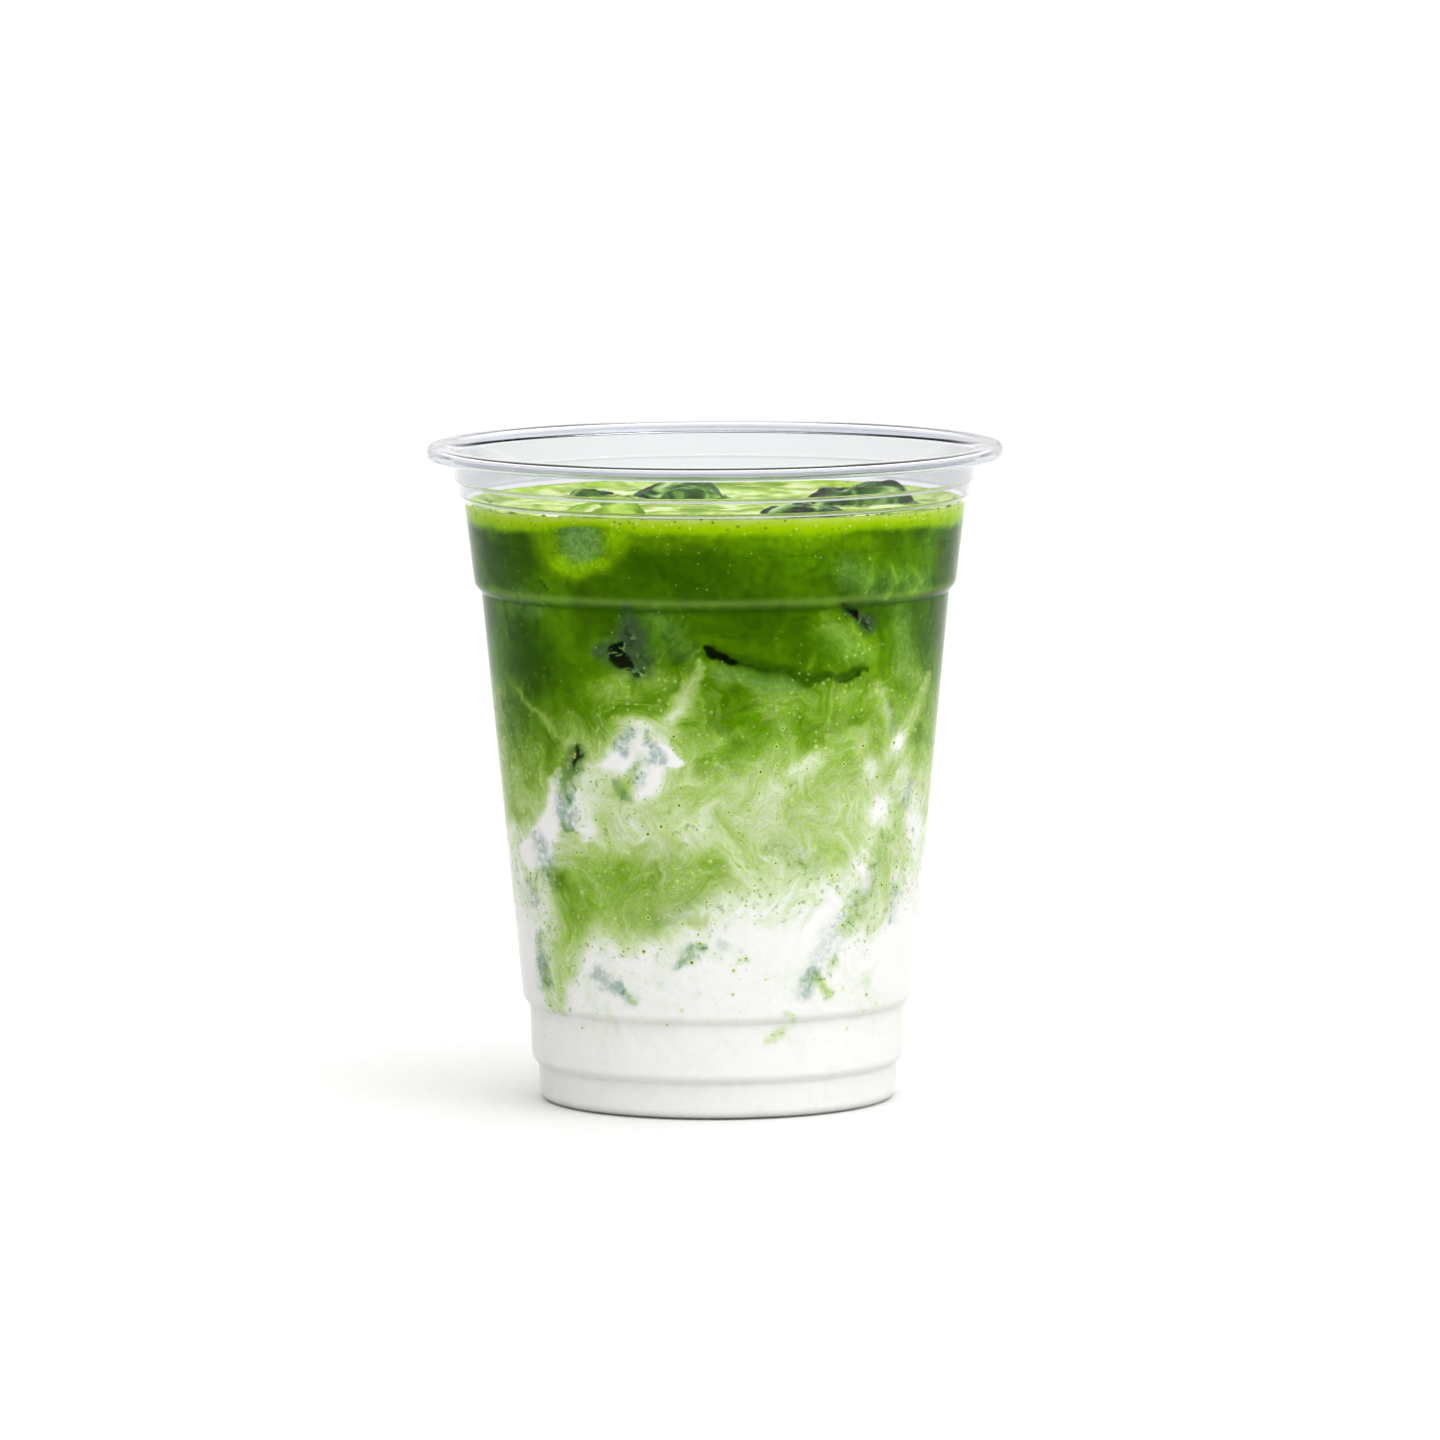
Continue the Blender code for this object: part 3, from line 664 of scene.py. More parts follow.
latteColours = dict(
    mix=(
        (0.0, "#F2F1EA"), (0.07, "#E8ECDF"), (0.17, "#CFDEB4"), (0.30, "#B5CB88"), (0.46, "#95B55A"),
        (0.62, "#769C36"), (0.78, "#507A14"), (0.90, "#3E6206"), (1.0, "#345202"),
    ),
    froth=((0.1, "#5A8E04"), (0.35, "#78A806"), (0.6, "#92BC16"), (0.85, "#A4C63A"), (1.0, "#BCD670")),
    # cool, dark and haze are painted shade: cool shadows, shadowed gaps, and the shadow round them
    cool="#8CA8A2", dark="#0B140A", haze="#3A4A34", shade="#294602", glow="#86C016", spot="#6E9A4A",
    warm="#4E7804", crumb="#5B8246", speck="#33591A", halo="#B9D268", bubble="#CFE3A0",
    # the painted ledge highlight and the painted crease shade
    ledge="#9CC05A", crease="#2A4A06",
)
latteLooks = dict(
    # clouds carried by the swirls or fixed in place: largest size in mm, detail, roughness, distortion
    clouds=dict(
        cloud=("swirl", 8.0, 6.0, 0.60, 0.5), wisp=("swirl", 3.0, 5.0, 0.64, 0.8),
        fine=("place", 1.3, 5.0, 0.62, 0.5), hue=("swirl", 15.0, 3.0, 0.50, 0.0),
        vein=("swirl", 9.0, 4.0, 0.50, 0.6), patch=("place", 9.0, 2.0, 0.50, 0.0),
        ragged=("place", 2.4, 6.0, 0.68, 0.9), grain=("place", 0.45, 2.0, 0.50, 0.0),
    ),
    uneven=0.30, unevenMixed=0.44,  # how far clouds change the share of matcha, and more where half mixed
    finer=(("wisp", 0.58), ("fine", 0.44)),  # finer clouds over the large ones, and how much of each
    threadWide=0.035, threadPale=0.09,  # pale threads of milk, where half mixed and in patches
    threadMixed=(0.2, 0.7), threadPatch=(0.42, 0.60),
    # strokes from the lowest up: where each starts and is full, how much it covers, how far its edge is
    # torn, and by which clouds
    torn=(
        ("shade", 0.05, 0.95, 0.8, 0.6, "ragged"), ("glow", 0.02, 1.1, 0.8, 0.3, "ragged"),
        ("spot", 0.05, 1.0, 0.8, 0.9, "fine"), ("cool", 0.0, 1.3, 0.85, 3.0, "fine"),
        ("haze", 0.05, 1.0, 0.9, 0.9, "ragged"), ("dark", 0.15, 0.95, 0.95, 0.7, "ragged"),
    ),
    # warmer patches in dense matcha, cool flecks of painted shadow in thin matcha, and crumbs in the gaps
    # painted dark as shade:
    # between which values of what makes them they come in or go out, and how much of each shows at most
    warmest=0.6, warmShare=(0.4, 0.9), warmHue=(0.45, 0.66),
    flecks=0.7, fleckFine=(0.56, 0.69), fleckShares=((0.02, 0.10), (0.45, 0.25)),
    crumbs=0.8, crumbRagged=(0.55, 0.61), crumbGap=(0.05, 0.3),
    tones=(("grain", 0.84, 1.08), ("fine", 0.78, 1.20), ("hue", 0.84, 1.10)),  # darkest and lightest green
    toneShare=(0.1, 0.8), toneNoise=(0.38, 0.62),  # shares of matcha where these come in, and noise used
    # how strong the painted ledge highlight is, and the painted crease shade in milk and in matcha
    ledgeShine=0.18, creaseShare=(0.2, 0.9), creaseInMilk=0.02, creaseInMatcha=0.7,
    foamTorn=(0.5, -0.27), foamShows=(0.02, 0.42),  # froth against the wall: how ragged, and where it ends
    # specks of tea powder with a paler ring where matcha has reached the milk, and tiny bubbles caught
    # against the plastic, painted as pale highlights, some with a ring of painted shade: spacing, radius,
    # share left out, shares of matcha where they come in and are all there, share where they are gone, and
    # the rings
    specks=(
        (1.3, 0.17, 0.40, 0.01, 0.12, 0.8, ((2.0, "halo", 0.6), (1.0, "speck", 0.95))),
        (2.8, 0.26, 0.45, 0.00, 0.04, 0.7, ((2.0, "halo", 0.85), (1.0, "speck", 1.0))),
        (1.3, 0.15, 0.55, 0.45, 0.80, 2.0, ((1.0, "bubble", 0.42),)),
        (4.6, 0.18, 0.75, 0.55, 0.85, 2.0, ((1.4, "shade", 0.5), (0.6, "bubble", 0.26))),
    ),
    speckShift=0.3,  # each set is moved by its spacing to the side and this to the back, so none line up
    speckEdge=0.6,  # a speck is full inside this share of its radius
    goneOver=0.15,  # they go out over this share of matcha
)


def mixedShare(tree, share, noise):
    # the share of matcha, varied by clouds, most where half mixed, less thin pale threads of milk drawn
    # out along the swirls
    looks = latteLooks
    halfMixed = add(tree, "Math", (share, add(tree, "Math", (1.0, share), **minus)), **times)
    halfMixed = add(tree, "MapRange", (halfMixed, 0.0, 0.25, 0.0, 1.0))
    weight = add(tree, "Math", (halfMixed, looks["unevenMixed"], looks["uneven"]), **timesPlus)
    uneven = add(tree, "Math", (noise["cloud"], -0.5), **plus)
    for title, amount in looks["finer"]:
        part = add(tree, "Math", (noise[title], amount, -0.5 * amount), **timesPlus)
        uneven = add(tree, "Math", (uneven, part), **plus)
    mixed = add(tree, "Math", (uneven, weight, share), **timesPlus)
    ridge = add(tree, "Math", (noise["vein"], 0.5), **minus)
    ridge = add(tree, "Math", (ridge,), operation="ABSOLUTE")
    thread = add(tree, "MapRange", (ridge, looks["threadWide"], 0.0, 0.0, looks["threadPale"]), **softStep)
    for value, limits in ((halfMixed, looks["threadMixed"]), (noise["patch"], looks["threadPatch"])):
        part = add(tree, "MapRange", (value, *limits, 0.0, 1.0), **softStep)
        thread = add(tree, "Math", (thread, part), **times)
    return add(tree, "Math", (mixed, thread), **minus)


def sideLayers(tree, read, noise):
    # what lies over the mixed drink, from the lowest up: how much of each shows, and its colour
    looks, share = latteLooks, read["matcha"]
    dense = add(tree, "MapRange", (share, *looks["warmShare"], 0.0, looks["warmest"]), **softStep)
    warm = add(tree, "MapRange", (noise["hue"], *looks["warmHue"], 0.0, 1.0), **softStep)
    layers = [(add(tree, "Math", (warm, dense), **times), "warm")]
    for title, low, high, amount, rough, by in looks["torn"]:
        lift = add(tree, "Math", (noise[by], rough, 1 - 0.5 * rough), **timesPlus)
        torn = add(tree, "Math", (read[title], lift), **times)
        layers.append((add(tree, "MapRange", (torn, low, high, 0.0, amount), **softStep), title))
    # flecks of painted cool shadow where the matcha is thin
    fleck = add(tree, "MapRange", (noise["fine"], *looks["fleckFine"], 0.0, looks["flecks"]), **softStep)
    for limits in looks["fleckShares"]:
        part = add(tree, "MapRange", (share, *limits, 0.0, 1.0), **softStep)
        fleck = add(tree, "Math", (fleck, part), **times)
    layers.append((fleck, "cool"))
    crumbs = (noise["ragged"], *looks["crumbRagged"], 0.0, looks["crumbs"])
    crumbs = add(tree, "MapRange", crumbs, **softStep)
    gap = add(tree, "Math", (read["dark"], read["haze"]), **times)
    gap = add(tree, "MapRange", (gap, *looks["crumbGap"], 0.0, 1.0), **softStep)
    layers.append((add(tree, "Math", (crumbs, gap), **times), "crumb"))
    return layers


def dots(tree, vector, spacing, left):
    # dots, one in each cell of the spacing, with a share left out: how far each place is from its dot,
    # in spacings, and 1 where that dot is kept
    cell = dict(Vector=vector, Scale=1 / (spacing * mm))
    distance = add(tree, "TexVoronoi", cell)
    chance = add(tree, "SeparateColor", (add(tree, "TexVoronoi", cell, out=1),))
    return distance, add(tree, "Math", (chance, left), operation="GREATER_THAN")


def sideColour(tree):
    # what shows through the wall: milk and matcha clouded where they meet, gaps painted near-black as shade
    # and cool shadows beside sunk ice, froth at the top, specks of tea powder, and bubbles painted as pale
    # highlights
    looks = latteLooks
    read = {}
    for title in (*strokes, "foam", "ledge", "crease"):
        read[title] = add(tree, "Attribute", out="Fac", attribute_name=title)
    share = read["matcha"]
    place = add(tree, "TexCoord", out="Object")
    vectors = dict(place=place, swirl=add(tree, "Attribute", out="Vector", attribute_name="swirl"))
    noise = {}
    for title, (vector, size, detail, rough, bent) in looks["clouds"].items():
        inputs = dict(Vector=vectors[vector], Scale=1 / (size * mm), Detail=detail, Roughness=rough)
        noise[title] = add(tree, "TexNoise", dict(inputs, Distortion=bent))
    stops = [(at, throughPlastic(shade)) for at, shade in latteColours["mix"]]
    colour = add(tree, "ValToRGB", (mixedShare(tree, share, noise),), stops=stops)
    through = {title: throughPlastic(shade) for title, shade in latteColours.items() if shade[0] == "#"}
    for amount, title in sideLayers(tree, read, noise):
        blend = "MULTIPLY" if title == "cool" else "MIX"
        colour = add(tree, "Mix", {0: amount, 6: colour, 7: through[title]}, blend_type=blend, **colourMix)

    # powder grain, painted light along the wall's ledges, and a painted line of shade under each
    green = add(tree, "MapRange", (share, *looks["toneShare"], 0.0, 1.0))
    for title, darkest, lightest in looks["tones"]:
        tone = add(tree, "MapRange", (noise[title], *looks["toneNoise"], darkest, lightest))
        tone = add(tree, "CombineColor", (tone, tone, tone))
        colour = add(tree, "Mix", {0: green, 6: colour, 7: tone}, blend_type="MULTIPLY", **colourMix)
    lit = add(tree, "Math", (read["ledge"], looks["ledgeShine"]), **times)
    colour = add(tree, "Mix", {0: lit, 6: colour, 7: through["ledge"]}, blend_type="SCREEN", **colourMix)
    deep = (share, *looks["creaseShare"], looks["creaseInMilk"], looks["creaseInMatcha"])
    deep = add(tree, "MapRange", deep)
    creaseShade = add(tree, "Math", (read["crease"], deep), **times)
    colour = add(tree, "Mix", {0: creaseShade, 6: colour, 7: through["crease"]}, **colourMix)

    # froth against the wall, bright at its top and worn away below
    foamy = add(tree, "Math", (noise["ragged"], *looks["foamTorn"]), **timesPlus)
    foamy = add(tree, "Math", (read["foam"], foamy), **plus)
    stops = [(at, throughPlastic(shade)) for at, shade in latteColours["froth"]]
    foam = add(tree, "ValToRGB", (foamy,), stops=stops)
    frothy = add(tree, "MapRange", (foamy, *looks["foamShows"], 0.0, 1.0), **softStep)
    colour = add(tree, "Mix", {0: frothy, 6: colour, 7: foam}, **colourMix)

    for spacing, radius, left, low, high, gone, rings in looks["specks"]:
        shift = (spacing * mm, looks["speckShift"] * mm, 0)
        moved = add(tree, "Mapping", dict(Vector=place, Location=shift))
        distance, kept = dots(tree, moved, spacing, left)
        for limits in ((low, high, 0.0, 1.0), (gone, gone - looks["goneOver"], 0.0, 1.0)):
            kept = add(tree, "Math", (kept, add(tree, "MapRange", (share, *limits))), **times)
        for reach, title, amount in rings:
            outer = radius / spacing * reach
            edges = (distance, outer, outer * looks["speckEdge"], 0.0, amount)
            dot = add(tree, "Math", (add(tree, "MapRange", edges, **softStep), kept), **times)
            colour = add(tree, "Mix", {0: dot, 6: colour, 7: through[title]}, **colourMix)
    return colour


def latteMaterial():
    # whisked matcha poured over milk and ice, behind clear plastic: a scattering liquid, so a soft
    # opaque body with no sparkle of its own
    material, tree, shader = newMaterial("marbledMatchaLatte", rough=0.6, ior=1.35, sheen=0.0)
    tree.links.new(sideColour(tree), shader.inputs["Base Color"])
    return material


frothLooks = dict(
    # colours where the surface is open liquid, bare inside the pockets round the ice, and foam
    open=((0.36, "#749828"), (0.46, "#98B446"), (0.53, "#B4CA6C"), (0.62, "#D6E2A8")),
    bare=((0.35, "#1C3A04"), (0.55, "#2F5E08"), (0.7, "#5C8C26")),
    foam=((0.35, "#8CB416"), (0.5, "#A4C832"), (0.64, "#BEDA64")),
    # largest size in mm, detail, distortion
    clouds=dict(open=(6.0, 7.0, 0.4), bare=(4.0, 5.0, 1.0), foam=(2.4, 5.0, 0.3), bump=(0.9, 3.0, 0.0)),
    # rings of light and shade where the liquid climbs the ice: mm from the ice, width, colour, how strong
    collars=((1.5, 0.5, "#C6D99A", 0.6), (0.35, 0.45, "#27480A", 0.85)), collarWavy=1.6,
    # pits painted with shade and tiny bubbles painted as pale highlights: spacing, radius, share left out,
    # colour, how strong
    dots=(
        (1.1, 0.30, 0.5, "#4A7408", 0.8), (1.0, 0.25, 0.5, "#DCEBA8", 0.5), (2.0, 0.40, 0.5, "#3E6A10", 0.65),
    ),
    dotEdge=0.5, dotFoam=(0.1, 0.6), pocketShows=(0.05, 0.4),
    foamRough=(0.35, 0.12), foamBumps=(0.6, 0.1),  # what full foam adds, and what open liquid has
    bumpDeep=0.12,
)


def frothMaterial():
    # whisked matcha foam: thousands of tiny bubbles, so a matt bright yellow-green with painted shade in its
    # pits and painted highlights on tiny bubbles, and a wet darker liquid where the foam has thinned and
    # round the ice
    looks = frothLooks
    material, tree, shader = newMaterial("matchaFroth", ior=1.02)
    read = {}
    for title in ("pocket", "foam", "side", "nearIce"):
        read[title] = add(tree, "Attribute", out="Fac", attribute_name=title)
    place = add(tree, "TexCoord", out="Object")
    noise = {}
    for title, (size, detail, bent) in looks["clouds"].items():
        inputs = dict(Vector=place, Scale=1 / (size * mm), Detail=detail, Distortion=bent)
        noise[title] = add(tree, "TexNoise", inputs)
    shades = {}
    for title in ("open", "bare", "foam"):
        stops = [(at, linearColour(shade)) for at, shade in looks[title]]
        shades[title] = add(tree, "ValToRGB", (noise[title],), stops=stops)
    top = add(tree, "Mix", {0: read["foam"], 6: shades["open"], 7: shades["foam"]}, **colourMix)
    wavy = add(tree, "Math", (noise["bare"], looks["collarWavy"], -0.5 * looks["collarWavy"]), **timesPlus)
    wavy = add(tree, "Math", (read["nearIce"], wavy), **plus)
    for at, width, shade, amount in looks["collars"]:
        off = add(tree, "Math", (add(tree, "Math", (wavy, at), **minus),), operation="ABSOLUTE")
        band = add(tree, "MapRange", (off, width, 0.0, 0.0, amount), **softStep)
        top = add(tree, "Mix", {0: band, 6: top, 7: linearColour(shade)}, **colourMix)
    inPocket = add(tree, "MapRange", (read["pocket"], *looks["pocketShows"], 0.0, 1.0), **softStep)
    top = add(tree, "Mix", {0: inPocket, 6: top, 7: shades["bare"]}, **colourMix)
    colour = add(tree, "Mix", {0: read["side"], 6: top, 7: sideColour(tree)}, **colourMix)
    for spacing, radius, left, shade, amount in looks["dots"]:
        distance, kept = dots(tree, place, spacing, left)
        foamy = add(tree, "MapRange", (read["foam"], *looks["dotFoam"], 0.0, amount))
        kept = add(tree, "Math", (kept, foamy), **times)
        outer = radius / spacing
        dot = add(tree, "MapRange", (distance, outer, outer * looks["dotEdge"], 0.0, 1.0), **softStep)
        dot = add(tree, "Math", (dot, kept), **times)
        colour = add(tree, "Mix", {0: dot, 6: colour, 7: linearColour(shade)}, **colourMix)
    tree.links.new(colour, shader.inputs["Base Color"])

    # foam is rough and pitted, open liquid is smooth
    rough = add(tree, "Math", (read["foam"], *looks["foamRough"]), **timesPlus)
    tree.links.new(rough, shader.inputs["Roughness"])
    strength = add(tree, "Math", (read["foam"], *looks["foamBumps"]), **timesPlus)
    bump = add(tree, "Bump", dict(Height=noise["bump"], Distance=looks["bumpDeep"] * mm, Strength=strength))
    tree.links.new(bump, shader.inputs["Normal"])
    return material


# the sheet's IOR and tint where it is dry, wetted, rolled into the rim, and cut at the lip; the grey tints of
# the dry sheet and the rim are painted shade, and the darkest, at the lip, paints a dark line of shade along
# it
sheetLooks = dict(
    clearPet=(1.35, "#E0E2E4"), wettedPet=(1.10, "#FAFAFD"),
    rolledPetRim=(1.35, "#ECEDF1"), shadedPetLip=(1.35, "#CED2D8"),
)
# the mould's lines: mm apart round the wall, how far squeezed along Z, how deep in mm
drawLines = dict(apart=5.0, squeezed=0.06, deep=0.03, strength=0.6)


def cupMaterial(name):
    # thermoformed PET: water-clear and glossy, with faint vertical draw lines left by the mould. Its IOR
    # is 1.575, set lower here for the faint reflections of a thin sheet, and lowest where the drink wets it
    ior, tint = sheetLooks[name]
    material, tree, shader = newMaterial(name, tint=linearColour(tint), rough=0.03, ior=ior, clear=1.0)
    place = add(tree, "TexCoord", out="Object")
    d = drawLines
    stretched = add(tree, "Mapping", dict(Vector=place, Scale=(1.0, 1.0, d["squeezed"])))
    lines = add(tree, "TexNoise", dict(Vector=stretched, Scale=1 / (d["apart"] * mm), Detail=2.0))
    bump = add(tree, "Bump", dict(Height=lines, Distance=d["deep"] * mm, Strength=d["strength"]))
    tree.links.new(bump, shader.inputs["Normal"])
    return material


iceLooks = dict(
    wetIce=dict(
        # the palest stops of the wet ice are painted highlights
        stops=((0.38, "#0E2202"), (0.46, "#234A04"), (0.54, "#47761A"), (0.60, "#82A850"), (0.68, "#C2D89C")),
        clear=0.15, rough=0.05, ior=1.05,
    ),
    frothedIce=dict(
        stops=((0.38, "#5C8408"), (0.5, "#80A616"), (0.62, "#A8C850")), clear=0.0, rough=0.3, ior=1.03,
    ),
)
# mm across the cloudy patches and the ripples, and how deep the ripples are
iceTexture = dict(clouds=5.0, ripples=2.5, deep=0.2, strength=0.7)


def iceMaterial(name):
    # melting ice in tea: a wet gloss, deep green from the drink that shows through it, and painted highlights
    # in the palest patches of the wet ice
    look = dict(iceLooks[name])
    stops = [(at, linearColour(shade)) for at, shade in look.pop("stops")]
    material, tree, shader = newMaterial(name, **look)
    place = add(tree, "TexCoord", out="Object")
    t = iceTexture
    clouds = dict(Vector=place, Scale=1 / (t["clouds"] * mm), Detail=3.5, Distortion=0.8)
    cloud = add(tree, "TexNoise", clouds)
    tree.links.new(add(tree, "ValToRGB", (cloud,), stops=stops), shader.inputs["Base Color"])
    ripple = add(tree, "TexNoise", dict(Vector=place, Scale=1 / (t["ripples"] * mm), Detail=2.0))
    bump = add(tree, "Bump", dict(Height=ripple, Distance=t["deep"] * mm, Strength=t["strength"]))
    tree.links.new(bump, shader.inputs["Normal"])
    return material


bubbles = dict(
    count=420, seed=7, smallest=0.16, largest=0.55,  # the sizes are radii
    spread=0.675,  # how far round from the front they spread
    nearest=0.5, fromWall=7.0,  # how far inside the wall they lie: at least this, and up to so much more
    above=0.25,  # share of its radius that a bubble's middle lies above the froth
    pocketMost=0.05,  # none where a pocket round the ice is more open than this
    rows=6, columns=8,
    # colours from face-on out to the rim; the palest is the painted rim highlight
    shades=((0.2, "#6E9412"), (0.6, "#A6C64A"), (0.9, "#E0EDB4")),
)


def bubbleMaterial():
    # a skin of tea round air: wet, with a painted highlight that brightens its rim as it turns away from the
    # view, the froth's green inside
    material, tree, shader = newMaterial("frothBubble", rough=0.08, ior=1.33, clear=0.3)
    facing = add(tree, "LayerWeight", dict(Blend=0.4), out="Facing")
    stops = [(at, linearColour(shade)) for at, shade in bubbles["shades"]]
    tree.links.new(add(tree, "ValToRGB", (facing,), stops=stops), shader.inputs["Base Color"])
    return material


paper = dict(
    radius=8000.0, top=-0.1, thickness=3.0, columns=96,
    grain=2.0, shades=((0.3, "#D4D4D3"), (0.7, "#D8D8D7")),
)


def floorMaterial():
    # a sheet of matt white paper, with a faint grain
    material, tree, shader = newMaterial("whitePaper", rough=0.8, sheen=0.1)
    place = add(tree, "TexCoord", out="Object")
    grain = add(tree, "TexNoise", dict(Vector=place, Scale=1 / (paper["grain"] * mm), Detail=3.0))
    stops = [(at, linearColour(shade)) for at, shade in paper["shades"]]
    tree.links.new(add(tree, "ValToRGB", (grain,), stops=stops), shader.inputs["Base Color"])
    return material


# Pieces

def makeCup():
    # the sheet's outer line, its rounded end and its inner line back, turned round Z, with a material
    # for each stretch of it
    c = cupSizes
    outer, inner = cupOutline(0.0), cupOutline(c["sheet"])
    tip = (outer[-1] + inner[-1]) / 2 + unit(outer[-1] - outer[-2]) * c["tipOut"]
    line = np.vstack([outer, tip, inner[::-1]])
    turns = np.arange(c["columns"]) / c["columns"] * 2 * math.pi
    piece = closedMesh("cupShell", turnedGrid(line, turns))
    dry, *others = [cupMaterial(name) for name in sheetLooks]
    dress(piece, dry, "cup_plastic", "cup")
    for material in others:
        piece.data.materials.append(material)
    middles = np.empty(len(piece.data.polygons) * 3, np.float32)
    piece.data.polygons.foreach_get("center", middles)
    x, y, z = middles.reshape(-1, 3).T
    index = np.where(z < c["wetUpTo"] * mm, 1, 0)
    index[z > c["rimFrom"] * mm] = 2
    # the lip's cut end takes the darkest tint, painting a line of shade along it
    lip = np.hypot(x, y) > (c["rimRadius"] - c["lipWidth"]) * mm
    index[lip & (z < (c["height"] - c["lipBelow"]) * mm)] = 3
    piece.data.polygons.foreach_set("material_index", index.astype(np.int32))


def makeBody():
    # the drink's wall line runs from the raised floor to the froth, then over to the middle
    d = drinkSizes
    line = resampled(cupOutline(d["inWall"]), d["rowStep"])
    onFloor = line[:, 0] < cupSizes["floorEdge"] - d["floorMargin"]
    line = np.vstack([line[:1], line[onFloor][1::d["floorRows"]], line[~onFloor]])
    line = line[line[:, 1] < d["bodyTop"]]
    over = np.linspace(1, 0, d["bodyTopRows"])[1:, None]
    top = d["bodyCentreTop"] + (line[-1, 1] - d["bodyCentreTop"]) * over ** d["bodyTopFlat"]
    line = np.vstack([line, np.hstack([line[-1, 0] * over, top])])
    turns = drinkTurns(d["columns"])
    turn, height = turns + 0 * line[:, :1], line[:, 1:2] + 0 * turns
    fields = paintFields(turn, height)
    fields["foam"] = foamAt(turn, height)
    piece = closedMesh("latteBody", turnedGrid(line, turns), fields)
    dress(piece, latteMaterial(), "matcha", "milk", "matcha")


def frothWall(heights):
    # radius of the froth's face in the wall at each height
    line = cupOutline(drinkSizes["frothInWall"])
    line = line[line[:, 0] > cupSizes["footRadius"] - drinkSizes["wallMargin"]]
    return np.interp(heights, line[:, 1], line[:, 0])


def makeFroth():
    # from the middle of its underside out to the wall, up the wall, and back over its top to the middle
    d, f = drinkSizes, froth
    turns = drinkTurns(d["columns"])
    under = np.linspace(0, 1, f["underRows"])[:-1, None]
    sag = d["frothBottom"] - d["frothCentreBottom"]
    underHeight = d["frothCentreBottom"] + sag * under ** f["underFlat"]
    share = np.linspace(0, 1, f["wallRows"])[:, None]
    wallHeight = d["frothBottom"] + (d["level"] + wallClimb(turns) - d["frothBottom"]) * share
    wallRadius = frothWall(wallHeight)
    nearWall = np.linspace(1, f["edgeShare"], f["edgeRows"])[1:]
    inward = np.concatenate([nearWall, np.linspace(f["edgeShare"], 0, f["topRows"])[1:]])[:, None]
    topRadius = wallRadius[-1] * inward
    x, y = topRadius * np.sin(turns), -topRadius * np.cos(turns)
    topHeight, pocket, nearIce = frothTop(x, y, wallRadius[-1] + 0 * topRadius)
    radius = np.vstack([wallRadius[0] * under, wallRadius, topRadius])
    height = np.vstack([underHeight + 0 * turns, wallHeight, topHeight])
    points = np.stack([radius * np.sin(turns), -radius * np.cos(turns), height], axis=-1)

    # under and at the wall it is painted as the drink is, and over the top these fields stay blank
    sideRows = len(under) + len(share)
    fields = paintFields(turns + 0 * height[:sideRows], height[:sideRows])
    for title, field in fields.items():
        blank = np.zeros((len(height) - sideRows, *field.shape[1:]))
        fields[title] = np.concatenate([field, blank])
    none = 0 * height[:sideRows]
    fields["side"] = np.vstack([none + 1, 0 * topHeight])
    fields["pocket"] = np.vstack([none, pocket])
    fields["nearIce"] = np.vstack([none + f["farFromIce"], nearIce])

    # over the top, foam lies along the front wall and thins out towards the middle
    fromWall = np.vstack([none, wallRadius[-1] - topRadius])
    patchy = fractalNoise(points, f["patchSize"], 4, f["patchSeed"])
    reach = f["onTop"] + f["onTopFront"] * np.exp(-(turns / f["onTopWidth"]) ** 2)
    reach = reach + f["onTopPatches"] * patchy
    onTop = 1 - smooth(f["fullOnTop"], 1.0, fromWall / np.maximum(reach, f["leastOnTop"]))
    fields["foam"] = np.where(fields["side"] > 0.5, foamAt(turns + 0 * height, height), onTop)
    dress(closedMesh("frothLayer", points, fields), frothMaterial(), "froth", "froth")


def ballGrid(rows, columns):
    # points of a ball of radius 1 and its faces, as three arrays: quads, and a fan round each pole
    down = np.linspace(0, math.pi, rows + 1)[1:-1, None]
    about = np.arange(columns) / columns * 2 * math.pi
    ball = [np.sin(down) * np.cos(about), np.sin(down) * np.sin(about), np.cos(down) + 0 * about]
    ball = np.stack(ball, axis=-1).reshape(-1, 3)
    here = np.arange(columns)
    beside = (here + 1) % columns
    ring = 1 + columns * np.arange(rows - 2)[:, None]
    quads = [ring + here, ring + columns + here, ring + columns + beside, ring + beside]
    last = 1 + columns * (rows - 2)
    faces = [np.stack(quads, axis=-1).reshape(-1, 4), np.stack([0 * here, 1 + here, 1 + beside], axis=-1)]
    faces.append(np.stack([0 * here + last + columns, last + beside, last + here], axis=-1))
    return np.vstack([[[0, 0, 1]], ball, [[0, 0, -1]]]), faces


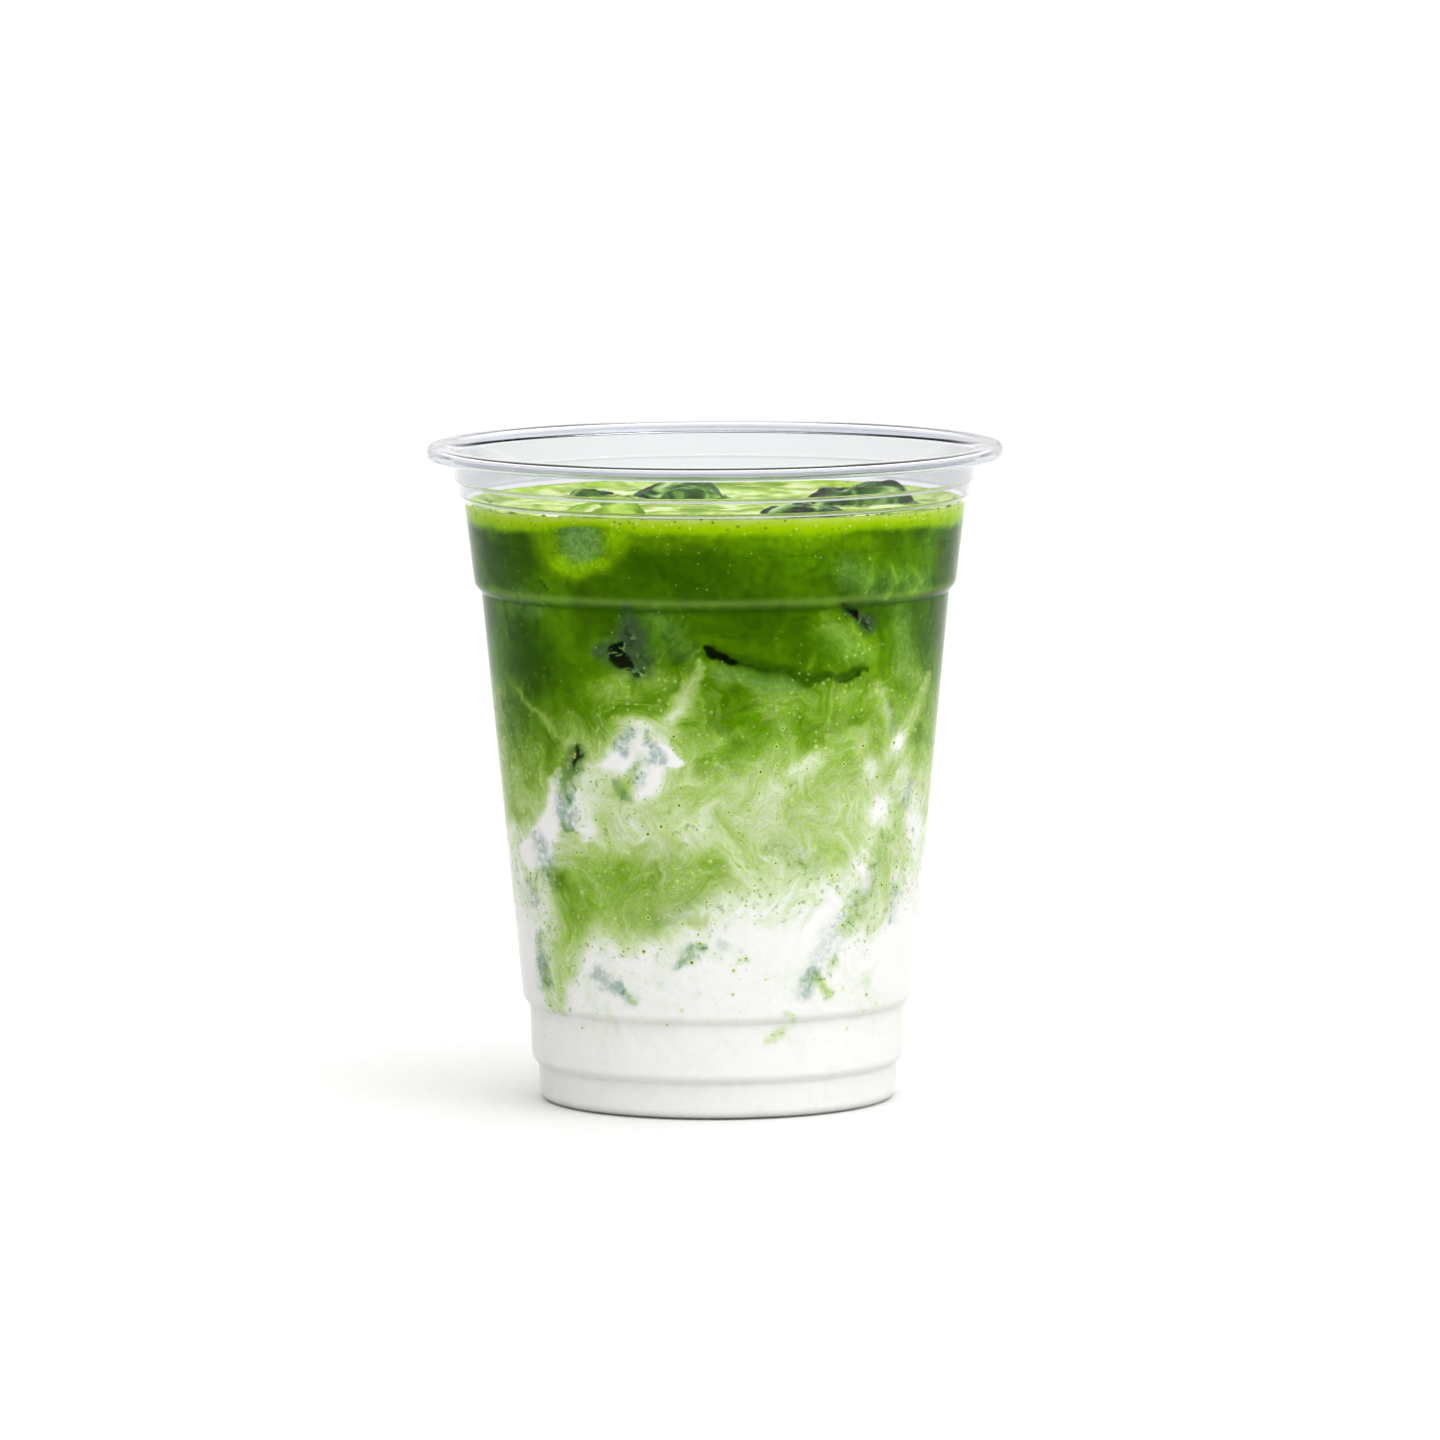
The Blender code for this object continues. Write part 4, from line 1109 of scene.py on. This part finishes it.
def makeBubbles():
    # small balls of air in the froth's surface, more of them near the front wall, all joined as one mesh
    b = bubbles
    draw = np.random.default_rng(b["seed"])
    turn = draw.normal(0, b["spread"], b["count"])
    inward = b["nearest"] + b["fromWall"] * draw.random(b["count"]) ** 2
    size = b["smallest"] + (b["largest"] - b["smallest"]) * draw.random(b["count"]) ** 4
    wall = frothWall(drinkSizes["level"] + wallClimb(turn))
    x, y = (wall - inward) * np.sin(turn), -(wall - inward) * np.cos(turn)
    height, pocket, _ = frothTop(x, y, wall)
    kept = pocket < b["pocketMost"]
    size = size[kept]
    middles = np.stack([x[kept], y[kept], height[kept] + size * b["above"]], axis=-1)
    ball, parts = ballGrid(b["rows"], b["columns"])
    points = (middles[:, None] + size[:, None, None] * ball) * mm
    starts = np.arange(len(middles))[:, None, None] * len(ball)
    faces = []
    for part in parts:
        faces += (starts + part).reshape(-1, part.shape[-1]).tolist()
    mesh = bpy.data.meshes.new("frothBubbles")
    mesh.from_pydata(points.reshape(-1, 3).tolist(), [], faces)
    mesh.shade_smooth()
    piece = bpy.data.objects.new("frothBubbles", mesh)
    bpy.context.scene.collection.objects.link(piece)
    dress(piece, bubbleMaterial(), "froth")
    print(f"made frothBubbles: {len(middles)} bubbles")


def makeIce():
    # each cube in place of its node, the one under the foam with foam's colours
    clear, frothed = iceMaterial("wetIce"), iceMaterial("frothedIce")
    for name, (points, _) in iceShapes.items():
        piece = closedMesh(name + "_melted", points)
        dress(piece, frothed if name == "ice_front_left" else clear, "ice", name)


def makeFloor():
    # a round sheet of paper just under the cup, far wider than the view
    low = paper["top"] - paper["thickness"]
    ring = [[0.0, paper["top"]], [paper["radius"], paper["top"]], [paper["radius"], low], [0.0, low]]
    turns = np.arange(paper["columns"]) / paper["columns"] * 2 * math.pi
    piece = closedMesh("paperFloor", turnedGrid(np.array(ring), turns))
    piece.data.materials.append(floorMaterial())


# Camera and light

cameraPlace = dict(
    across=0.68, back=2000.0, height=283.95, down=6.262, roll=-0.27, lens=295.3, sensor=36.0, farthest=100.0,
)
lights = (("keySoftbox", (1.1, -1.0, 1.4), 1.0, 6.0),)  # name, place in m, size in m, watts
lightAim = (0, 0, 0.05)  # where they point, in m
world = dict(
    top=2.0, rightLean=0.35, frontLean=0.2, lowBack=1.0, lowFront=0.45, frontToBack=0.3,
    topFrom=0.2, topFull=0.6,  # how far up the low wall gives way to the bright top
    cards=0.95, cardFrom=0.40, cardFull=0.75, cardUpTo=0.55, cardFullUpTo=0.25,
    fill=0.35, fillFrom=(0.62, -0.70, 0.35), fillNarrow=0.55,  # a soft bright patch at the front right
)


def makeCamera():
    # a long lens in front of the cup, tilted down and rolled as fitted to the rings of the cup
    c = cameraPlace
    data = bpy.data.cameras.new("photoCamera")
    data.lens, data.sensor_width, data.clip_end = c["lens"], c["sensor"], c["farthest"]
    camera = bpy.data.objects.new("photoCamera", data)
    bpy.context.scene.collection.objects.link(camera)
    tilt = Matrix.Rotation(math.radians(90 - c["down"]), 4, "X")
    turn = tilt @ Matrix.Rotation(math.radians(c["roll"]), 4, "Z")
    camera.matrix_world = Matrix.Translation((c["across"] * mm, -c["back"] * mm, c["height"] * mm)) @ turn
    bpy.context.scene.camera = camera


def makeLights():
    # square softboxes, each turned to face the cup
    for name, place, size, watts in lights:
        data = bpy.data.lights.new(name, "AREA")
        data.shape, data.size, data.energy = "SQUARE", size, watts
        lamp = bpy.data.objects.new(name, data)
        bpy.context.scene.collection.objects.link(lamp)
        towards = Vector(lightAim) - Vector(place)
        lamp.matrix_world = Matrix.Translation(place) @ towards.to_track_quat("-Z", "Y").to_matrix().to_4x4()


def makeWorld():
    # a white tent, brightest overhead, to the right and in front, with a dark card low on each side
    w = world
    made = bpy.data.worlds.new("lightTent")
    bpy.context.scene.world = made
    made.use_nodes = True
    tree = made.node_tree
    way = add(tree, "TexCoord", out="Generated")
    across, deep, up = (add(tree, "SeparateXYZ", (way,), out=axis) for axis in "XYZ")
    lean = add(tree, "Math", (across, w["rightLean"], 1.0), **timesPlus)
    lean = add(tree, "Math", (deep, -w["frontLean"], lean), **timesPlus)
    overhead = add(tree, "Math", (lean, w["top"]), **times)
    ends = (-w["frontToBack"], w["frontToBack"], w["lowFront"], w["lowBack"])
    low = add(tree, "MapRange", (deep, *ends), **softStep)
    high = add(tree, "MapRange", (up, w["topFrom"], w["topFull"], 0.0, 1.0), **softStep)
    strength = add(tree, "Mix", {0: high, 2: low, 3: overhead}, data_type="FLOAT")
    aside = add(tree, "Math", (across,), operation="ABSOLUTE")
    aside = add(tree, "MapRange", (aside, w["cardFrom"], w["cardFull"], 0.0, w["cards"]), **softStep)
    lowDown = add(tree, "MapRange", (up, w["cardUpTo"], w["cardFullUpTo"], 0.0, 1.0), **softStep)
    card = add(tree, "Math", (aside, lowDown), **times)
    strength = add(tree, "Math", (strength, add(tree, "Math", (1.0, card), **minus)), **times)
    fillFrom = Vector(w["fillFrom"]).normalized()
    towards = add(tree, "VectorMath", (way, fillFrom), "Value", operation="DOT_PRODUCT")
    fill = add(tree, "MapRange", (towards, w["fillNarrow"], 1.0, 0.0, w["fill"]), **softStep)
    strength = add(tree, "Math", (strength, fill), **plus)
    back = tree.nodes["Background"]
    back.inputs["Color"].default_value = (1, 1, 1, 1)
    tree.links.new(strength, back.inputs["Strength"])


bpy.context.scene.view_settings.view_transform = "Standard"
makeCamera()
makeFloor()
makeWorld()
makeLights()
print("stage ready")
makeCup()
makeBody()
makeFroth()
makeBubbles()
makeIce()
print("pieces ready")
